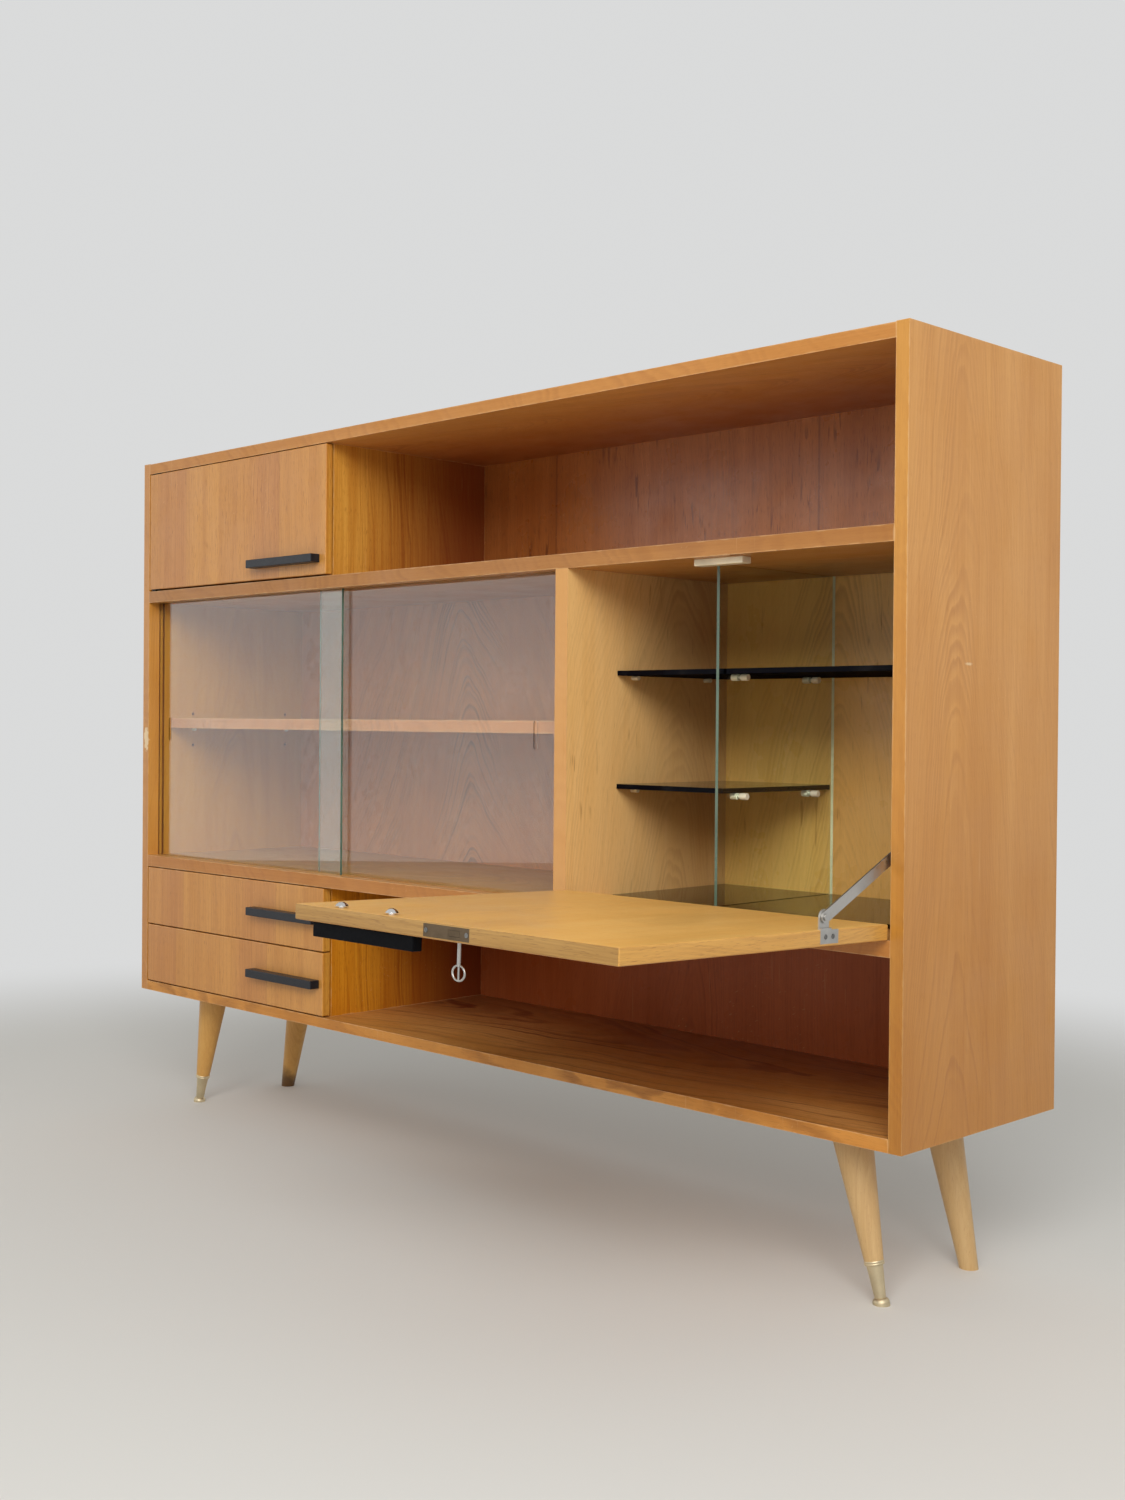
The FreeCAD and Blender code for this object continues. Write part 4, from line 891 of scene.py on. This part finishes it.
class SIDEBOARD_OT_backs(Operator):
    """Stains the back boards, darker and redder partly as painted shade, and leaves their rear faces raw"""

    bl_idname = "sideboard.backs"
    bl_label = "Back boards"

    def execute(self, context):
        rear = context.scene.sideboard_finish.board_rear
        back = tones_of("back")
        # Board, colours, cut, leaves, seed and sheen
        boards = (
            ("back_panel_upper", back, FLECKED_STRIPE, BACK_LEAVES, 0.2, 0.6),
            ("back_panel_display", tones_of("display"), BOLD_CROWN, None, 1.3, 0.4),
            ("back_panel_bar", dyed(tones_of("bar"), OLIVE), CALM_CROWN, None, 2.4, 0.4),
            # Painted shade: the low bay's back is a redder copy of the back colours, for the low bay's warm
            # shade
            ("back_panel_lower", dyed(back, LOW_BACK_WARM_SHADE), SOFT_CROWN, None, 3.8, 0.12),
        )
        for board, tones, cut, leaves, seed, sheen in boards:
            looks = {"gloss": 0.30, "sheen": sheen, "wear": 0.0004}
            shader, coords, colour = timber(
                "veneer_" + board, board, UPRIGHT_FRONT, tones, cut, seed, leaves, **looks,
            )
            fibre = noise(coords["Object"], scale=300.0, detail=5.0, roughness=0.7)
            damp = noise(coords["Object"], scale=3.5, detail=6.0, roughness=0.65)
            mottle = ramp(fibre * 0.4 + damp, 0.45, 0.95)
            raw = blend(mottle, dimmed(rear, 0.65), dimmed(rear, 1.35))
            feed(shader["Base Color"], blend(facing(coords, "Y", 1.0), colour, raw))
        return {"FINISHED"}


class SIDEBOARD_OT_bar(Operator):
    """Finishes the bar: pale veneer, dark glass, cream supports"""

    bl_idname = "sideboard.bar"
    bl_label = "Bar"

    def execute(self, context):
        finish = context.scene.sideboard_finish
        # Painted shade on the divider's right face towards the back and in its grooves
        looks = {"inside": ("X", 1.0, 0.35), "hollow": PAINTED_GROOVE_SHADE}
        shader, coords, colour = timber(
            "veneer_bar_divider", "bar_divider", UPRIGHT_SIDE, tones_of("bar"), CALM_CROWN, 9.3, **looks,
        )
        edge = facing(coords, "Y", -1.0) * 0.75
        feed(shader["Base Color"], blend(edge, colour, finish.honey_warm))
        dress(dark_glass_material("black_shelf_glass", finish.smoked_glass, 0.02), "bar_glass_shelves")
        brown = dark_glass_material("brown_plate_glass", finish.plate_glass, 0.12, BROWN_SHEEN)
        dress(brown, "bar_floor_plates")
        cream = cloudy_material("cream_plastic", finish.cream, 0.38, 0.35, grain=240.0)
        dress(cream, "bar_shelf_supports", "flap_stop_block", "display_shelf_pins")
        return {"FINISHED"}


class SIDEBOARD_OT_flap(Operator):
    """Veneers the drop flap, with its lipped edges"""

    bl_idname = "sideboard.flap"
    bl_label = "Flap"

    def execute(self, context):
        front = tones_of("front")
        shader, coords, colour = timber(
            "veneer_flap", "flap_panel", LYING_DEEP, tones_of("flap"), FAINT_CROWN, 10.7, wear=0.0012,
        )
        colour = edged(coords, colour, "Y", -1.0, EDGE_ALONG, FLAP_LOW, TAN)
        colour = edged(coords, colour, "X", 1.0, EDGE_DEEP, FLAP_LOW, dyed(front, PALE_END))
        colour = edged(coords, colour, "Z", -1.0, LYING_DEEP, FLAP_HIGH, front)
        feed(shader["Base Color"], colour)
        return {"FINISHED"}


class SIDEBOARD_OT_glass(Operator):
    """Makes the sliding doors and the bar's partition of clear glass"""

    bl_idname = "sideboard.glass"
    bl_label = "Clear glass"

    def execute(self, context):
        tint = context.scene.sideboard_finish.clear_glass
        dress(glass_material("door_glass", tint), "glass_door_left", "glass_door_right")
        dress(glass_material("partition_glass", tint, bend=1.03, coat=0.6), "bar_glass_partition")
        return {"FINISHED"}


class SIDEBOARD_OT_glass_edges(Operator):
    """Grinds the free upright edges of the clear glass, which shine green"""

    bl_idname = "sideboard.glass_edges"
    bl_label = "Glass edges"

    def execute(self, context):
        finish = context.scene.sideboard_finish
        green = cloudy_material("ground_glass_edge", finish.glass_edge, 0.22, 0.5, grain=90.0)
        # Painted light on the partition's rear edge
        bright = cloudy_material("bright_glass_edge", finish.bright_edge, 0.30, 0.3, grain=90.0)
        # Piece, pane, body, the way the edge looks and its finish
        edges = (
            ("partition_front_edge", "bar_glass_partition", "cabinet", "Y", -1, green),
            ("partition_rear_edge", "bar_glass_partition", "cabinet", "Y", 1, bright),
            ("left_pane_edge", "glass_door_left", "glass_left", "X", 1, green),
            ("right_pane_edge", "glass_door_right", "glass_right", "X", -1, green),
        )
        for name, pane, body, axis, sign, material in edges:
            mesh = self.edge_mesh(name, *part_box(pane), axis, sign, context.scene.sideboard_fixings)
            mesh.materials.append(material)
            add_piece(name, mesh, body)
        return {"FINISHED"}

    def edge_mesh(self, name, low, high, axis, sign, sizes):
        """A thin skin round one upright edge of a pane, eased at its corners."""
        run, through = (1, 0) if axis == "Y" else (0, 1)
        tip = low[run] if sign < 0 else high[run]
        skin, width = sizes.edge_skin, sizes.edge_width
        near, far = low[through], high[through]
        profile = [
            (width, near), (width, near - skin), (0.0, near - skin), (-skin, near),
            (-skin, far), (0.0, far + skin), (width, far + skin), (width, far),
        ]
        points = []
        for z in (low.z, high.z):
            for inward, side in profile:
                point = [0.0, 0.0, z]
                point[run] = tip - sign * inward
                point[through] = side
                points.append(point)
        count = len(profile)
        faces = [[i, (i + 1) % count, count + (i + 1) % count, count + i] for i in range(count)]
        faces += [list(reversed(range(count))), list(range(count, 2 * count))]
        mesh = bpy.data.meshes.new(name)
        mesh.from_pydata(points, [], faces)
        outward(mesh)
        return mesh


class SIDEBOARD_OT_handles(Operator):
    """Moulds the bar handles in black and plates their bolts"""

    bl_idname = "sideboard.handles"
    bl_label = "Handles"

    def execute(self, context):
        finish = context.scene.sideboard_finish
        moulded = {"stain": 0.3, "grain": 420.0}
        black = cloudy_material("handle_black", finish.handle_black, 0.38, sheen=0.34, **moulded)
        dress(black, "door_handle", "drawer_upper_handle", "drawer_lower_handle")
        # Painted shade: the flap handle is a darker, duller copy of the black for the shade under the open
        # flap
        shaded_black = dimmed(finish.handle_black, 0.25)
        dress(cloudy_material("flap_handle_black", shaded_black, 0.50, sheen=0.05, **moulded), "flap_handle")
        chrome = cloudy_material("bolt_chrome", finish.chrome, 0.14, 0.3, metallic=1.0, spread=0.05)
        for handle in ("door", "drawer_upper", "drawer_lower", "flap"):
            dress(chrome, handle + "_handle_bolts")
        return {"FINISHED"}


class SIDEBOARD_OT_drawers(Operator):
    """Finishes the drawers' plain insides, the runners and the dowels"""

    bl_idname = "sideboard.drawers"
    bl_label = "Drawer insides"

    def execute(self, context):
        beech = tones_of("beech")
        # Piece, lie and seed
        pieces = (
            ("drawer_upper_box", EDGE_DEEP, 1.0),
            ("drawer_lower_box", EDGE_DEEP, 2.0),
            ("drawer_upper_bottom", LYING, 3.0),
            ("drawer_lower_bottom", LYING, 4.0),
            ("drawer_runners", EDGE_DEEP, 5.0),
            ("carcass_dowels", LYING, 6.0),
        )
        for name, lie, seed in pieces:
            timber("beech_" + name, name, lie, beech, TURNED, seed, gloss=0.5)
        return {"FINISHED"}


class SIDEBOARD_OT_legs(Operator):
    """Finishes the turned legs and their brass ferrules"""

    bl_idname = "sideboard.legs"
    bl_label = "Legs"

    def execute(self, context):
        beech = tones_of("beech")
        # Painted shade: the left legs take a warmer copy of the beech for the warm shade they stand in
        yellowed = dyed(beech, WARM_SHADE_BEECH)
        for seed, name in enumerate(("leg_front_left", "leg_front_right", "leg_rear_left", "leg_rear_right")):
            tones = yellowed if name.endswith("left") else beech
            shader, coords, colour = timber(
                "beech_" + name, name, UPRIGHT_FRONT, tones, TURNED, seed + 0.5, gloss=0.4, wear=0.0003,
            )
            if name == "leg_rear_left":
                feed(shader["Base Color"], self.damp_foot(coords, colour))
        brass = context.scene.sideboard_finish.brass
        dress(cloudy_material("ferrule_brass", brass, 0.50, 0.5, metallic=1.0, grain=160.0), "leg_ferrules")
        return {"FINISHED"}

    def damp_foot(self, coords, colour):
        """A dark damp stain that creeps up from the floor."""
        ragged = noise(coords["Object"], scale=45.0, detail=3.0)
        height = axes_of(coords["Object"])["Z"] + ragged * 0.05
        return blend(ramp(height, 0.035, 0.075, 0.85, 0.0), colour, DAMP_STAIN)


class SIDEBOARD_OT_metalwork(Operator):
    """Finishes the stay, lock, key and hinges in dull steel, and the pivots in steel darkened by painted
    shade
    """

    bl_idname = "sideboard.metalwork"
    bl_label = "Metalwork"

    def execute(self, context):
        steel = context.scene.sideboard_finish.steel
        dull = cloudy_material("dull_steel", steel, 0.40, 0.35, metallic=1.0, grain=220.0)
        dress(dull, "stay_bracket", "stay_arm", "stay_guide", "stay_guide_stud", "key", "leg_bolts")
        dress(dull, "flap_hinge_shelf_leaves", "flap_hinge_flap_leaves", "flap_hinge_pins", "flap_screws")
        # Painted shade: the pivot pins and sockets are steel darkened almost to black for the gap they sit in
        black = cloudy_material("pivot_steel", dimmed(steel, 0.08), 0.50, 0.35, metallic=1.0, grain=220.0)
        dress(black, "door_pivot_pins", "door_pivot_sockets")
        worn = dyed([steel], WORN_STEEL)[0]
        lock = cloudy_material("lock_steel", worn, 0.42, 0.5, metallic=1.0, grain=260.0)
        dress(lock, "lock_case", "lock_bolt")
        return {"FINISHED"}


class SIDEBOARD_OT_screws(Operator):
    """Drives slotted screws into the lock plate and the stay bracket"""

    bl_idname = "sideboard.screws"
    bl_label = "Screws"

    def execute(self, context):
        fixings = context.scene.sideboard_fixings
        steel = dimmed(context.scene.sideboard_finish.steel, 0.45)
        material = cloudy_material("screw_steel", steel, 0.45, 0.3, metallic=1.0, grain=500.0)
        points = [vertex.co for vertex in NODES["flap_screws"].data.vertices]
        front = min(point.y for point in points)
        right = max(point.x for point in points)
        plate_heads = self.middles([point for point in points if point.y < front + 0.0008], 0)
        bracket_heads = self.middles([point for point in points if point.x > right - 0.0003], 1)
        plate_aim = Vector((0.0, -math.sin(FLAP_SWING), math.cos(FLAP_SWING)))
        bracket_aim = Vector((1.0, 0.0, 0.0))
        mesh = bpy.data.meshes.new("screw_points")
        mesh.from_pydata([tuple(place) for place in plate_heads + bracket_heads], [], [])
        aims = mesh.attributes.new("aim", "FLOAT_VECTOR", "POINT")
        for item, aim in zip(aims.data, (plate_aim, plate_aim, bracket_aim, bracket_aim)):
            item.vector = aim
        sizes = {"Head Radius": fixings.screw_radius, "Crown": fixings.screw_crown}
        sizes.update({"Depth": fixings.screw_depth, "Slot Width": fixings.slot_width})
        group = screw_tree("Slotted Screws", material)
        piece = grown_piece("flap_slotted_screws", mesh, group, sizes, "flap")
        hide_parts("flap_screws")
        return {"FINISHED"}

    def middles(self, points, axis):
        """The middles of two screws' heads that lie apart along an axis."""
        between = (min(point[axis] for point in points) + max(point[axis] for point in points)) / 2
        lower = [point for point in points if point[axis] < between]
        upper = [point for point in points if point[axis] > between]
        return [sum(head, Vector()) / len(head) for head in (lower, upper)]


class SIDEBOARD_OT_nails(Operator):
    """Nails the back boards round their edges"""

    bl_idname = "sideboard.nails"
    bl_label = "Back nails"

    def execute(self, context):
        fixings = context.scene.sideboard_fixings
        inset = fixings.nail_inset
        steel = dimmed(context.scene.sideboard_finish.steel, 0.5)
        material = cloudy_material("nail_iron", steel, 0.5, 0.5, metallic=1.0, grain=400.0)
        curve = bpy.data.curves.new("nail_path", "CURVE")
        curve.dimensions = "3D"
        for board in ("back_panel_upper", "back_panel_display", "back_panel_bar", "back_panel_lower"):
            low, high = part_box(board)
            left, right = low.x + inset, high.x - inset
            bottom, top = low.z + inset, high.z - inset
            corners = ((left, bottom), (right, bottom), (right, top), (left, top))
            line = curve.splines.new("POLY")
            line.points.add(len(corners) - 1)
            for point, (x, z) in zip(line.points, corners):
                point.co = (x, high.y + fixings.nail_crown / 2, z, 1.0)
            line.use_cyclic_u = True
        sizes = {"Head Radius": fixings.nail_radius, "Crown": fixings.nail_crown, "Pitch": fixings.nail_pitch}
        group = nail_tree("Back Nails", material)
        grown_piece("back_nails", curve, group, sizes, "cabinet")
        return {"FINISHED"}


class SIDEBOARD_OT_stage(Operator):
    """Lays the floor, hangs the lamps and sets up the camera"""

    bl_idname = "sideboard.stage"
    bl_label = "Stage"

    def execute(self, context):
        stage = context.scene.sideboard_stage
        context.scene.view_settings.view_transform = "Standard"
        self.lay_floor(context, stage)
        self.light_room(context, stage)
        for name, hang in LAMPS.items():
            self.set_lamp(context, name + "_lamp", *hang, getattr(stage, name + "_power"))
        self.set_camera(context, stage)
        return {"FINISHED"}

    def lay_floor(self, context, stage):
        """A wide pale floor that fades into the backdrop."""
        turns = [2 * math.pi * i / FLOOR_CORNERS for i in range(FLOOR_CORNERS)]
        ring = [(stage.floor_radius * math.cos(t), stage.floor_radius * math.sin(t), FLOOR_Z) for t in turns]
        mesh = bpy.data.meshes.new("floor")
        mesh.from_pydata(ring, [], [list(range(FLOOR_CORNERS))])
        floor = bpy.data.objects.new("floor", mesh)
        context.scene.collection.objects.link(floor)
        material, shader, coords = new_material("pale_floor")
        feed(shader["Base Color"], stage.floor_colour)
        feed(shader["Roughness"], FLOOR_ROUGHNESS)
        far = ramp(calc("LENGTH", coords["Object"]), stage.fade_start, stage.fade_end)
        glow = add(coords.tree, "ShaderNodeEmission", {"Color": stage.backdrop_colour, "Strength": 1.0})[0]
        mix_surface(coords.tree, far * self.seen(coords.tree), glow)
        mesh.materials.append(material)

    def seen(self, tree):
        """1 for rays from the camera, a mirror or glass."""
        path = add(tree, "ShaderNodeLightPath")
        direct = calc("MAXIMUM", path["Is Camera Ray"], path["Is Glossy Ray"])
        return calc("MAXIMUM", direct, path["Is Transmission Ray"])

    def light_room(self, context, stage):
        """Even light from all round, with the pale backdrop where it is seen."""
        world = bpy.data.worlds.new("room")
        world.use_nodes = True
        tree = world.node_tree
        tree.nodes.clear()
        room = add(tree, "ShaderNodeBackground", {"Color": ROOM_WHITE, "Strength": stage.room_light})[0]
        wall = add(tree, "ShaderNodeBackground", {"Color": stage.backdrop_colour, "Strength": 1.0})[0]
        mix = add(tree, "ShaderNodeMixShader", {0: self.seen(tree), 1: room, 2: wall})[0]
        feed(tree.nodes.new("ShaderNodeOutputWorld").inputs["Surface"], mix)
        context.scene.world = world

    def set_lamp(self, context, name, place, target, width, height, watts):
        """A large soft lamp aimed at a point."""
        lamp = bpy.data.lights.new(name, "AREA")
        lamp.shape = "RECTANGLE"
        lamp.size = width
        lamp.size_y = height
        lamp.energy = watts
        holder = bpy.data.objects.new(name, lamp)
        context.scene.collection.objects.link(holder)
        aim = (Vector(target) - Vector(place)).to_track_quat("-Z", "Y").to_matrix().to_4x4()
        holder.matrix_world = Matrix.Translation(place) @ aim

    def set_camera(self, context, stage):
        """The photograph's view."""
        data = bpy.data.cameras.new("view")
        data.sensor_fit = "VERTICAL"
        data.sensor_height = 36.0
        data.lens = data.sensor_height * stage.focal / PHOTO_HEIGHT
        data.shift_x = (PHOTO_WIDTH / 2 - stage.centre_x) / PHOTO_HEIGHT
        data.shift_y = (stage.centre_y - PHOTO_HEIGHT / 2) / PHOTO_HEIGHT
        data.clip_start = 0.05
        data.clip_end = 60.0
        yaw, pitch, roll = stage.camera_yaw, stage.camera_pitch, stage.camera_roll
        ahead = Vector((-math.sin(yaw) * math.cos(pitch), math.cos(yaw) * math.cos(pitch), -math.sin(pitch)))
        right = Vector((math.cos(yaw), math.sin(yaw), 0.0))
        down = ahead.cross(right)
        level = math.cos(roll) * right + math.sin(roll) * down
        sunk = -math.sin(roll) * right + math.cos(roll) * down
        turn = Matrix((level, -sunk, -ahead)).transposed().to_4x4()
        camera = bpy.data.objects.new("view", data)
        context.scene.collection.objects.link(camera)
        camera.matrix_world = Matrix.Translation(stage.camera_place) @ turn
        context.scene.camera = camera


SETTINGS = {
    "sideboard_finish": SideboardFinish,
    "sideboard_fixings": SideboardFixings,
    "sideboard_stage": SideboardStage,
}

PIECES = (
    SIDEBOARD_OT_carcass,
    SIDEBOARD_OT_fronts,
    SIDEBOARD_OT_backs,
    SIDEBOARD_OT_bar,
    SIDEBOARD_OT_flap,
    SIDEBOARD_OT_glass,
    SIDEBOARD_OT_glass_edges,
    SIDEBOARD_OT_handles,
    SIDEBOARD_OT_drawers,
    SIDEBOARD_OT_legs,
    SIDEBOARD_OT_metalwork,
    SIDEBOARD_OT_screws,
    SIDEBOARD_OT_nails,
    SIDEBOARD_OT_stage,
)


class SIDEBOARD_PT_panel(Panel):
    """Lists the sideboard's pieces, sizes and colours"""

    bl_idname = "SIDEBOARD_PT_panel"
    bl_label = "Sideboard"
    bl_space_type = "VIEW_3D"
    bl_region_type = "UI"
    bl_category = "Sideboard"

    def draw(self, context):
        for name, group in SETTINGS.items():
            box = self.layout.box()
            for setting in group.__annotations__:
                box.prop(getattr(context.scene, name), setting)
        for piece in PIECES:
            self.layout.operator(piece.bl_idname)


CLASSES = (*SETTINGS.values(), *PIECES, SIDEBOARD_PT_panel)


def register():
    for cls in CLASSES:
        bpy.utils.register_class(cls)
    for name, group in SETTINGS.items():
        setattr(bpy.types.Scene, name, PointerProperty(type=group))


def unregister():
    for name in SETTINGS:
        delattr(bpy.types.Scene, name)
    for cls in reversed(CLASSES):
        bpy.utils.unregister_class(cls)


def main():
    register()
    for piece in PIECES:
        group, name = piece.bl_idname.split(".")
        getattr(getattr(bpy.ops, group), name)()


if __name__ == "__main__":
    main()
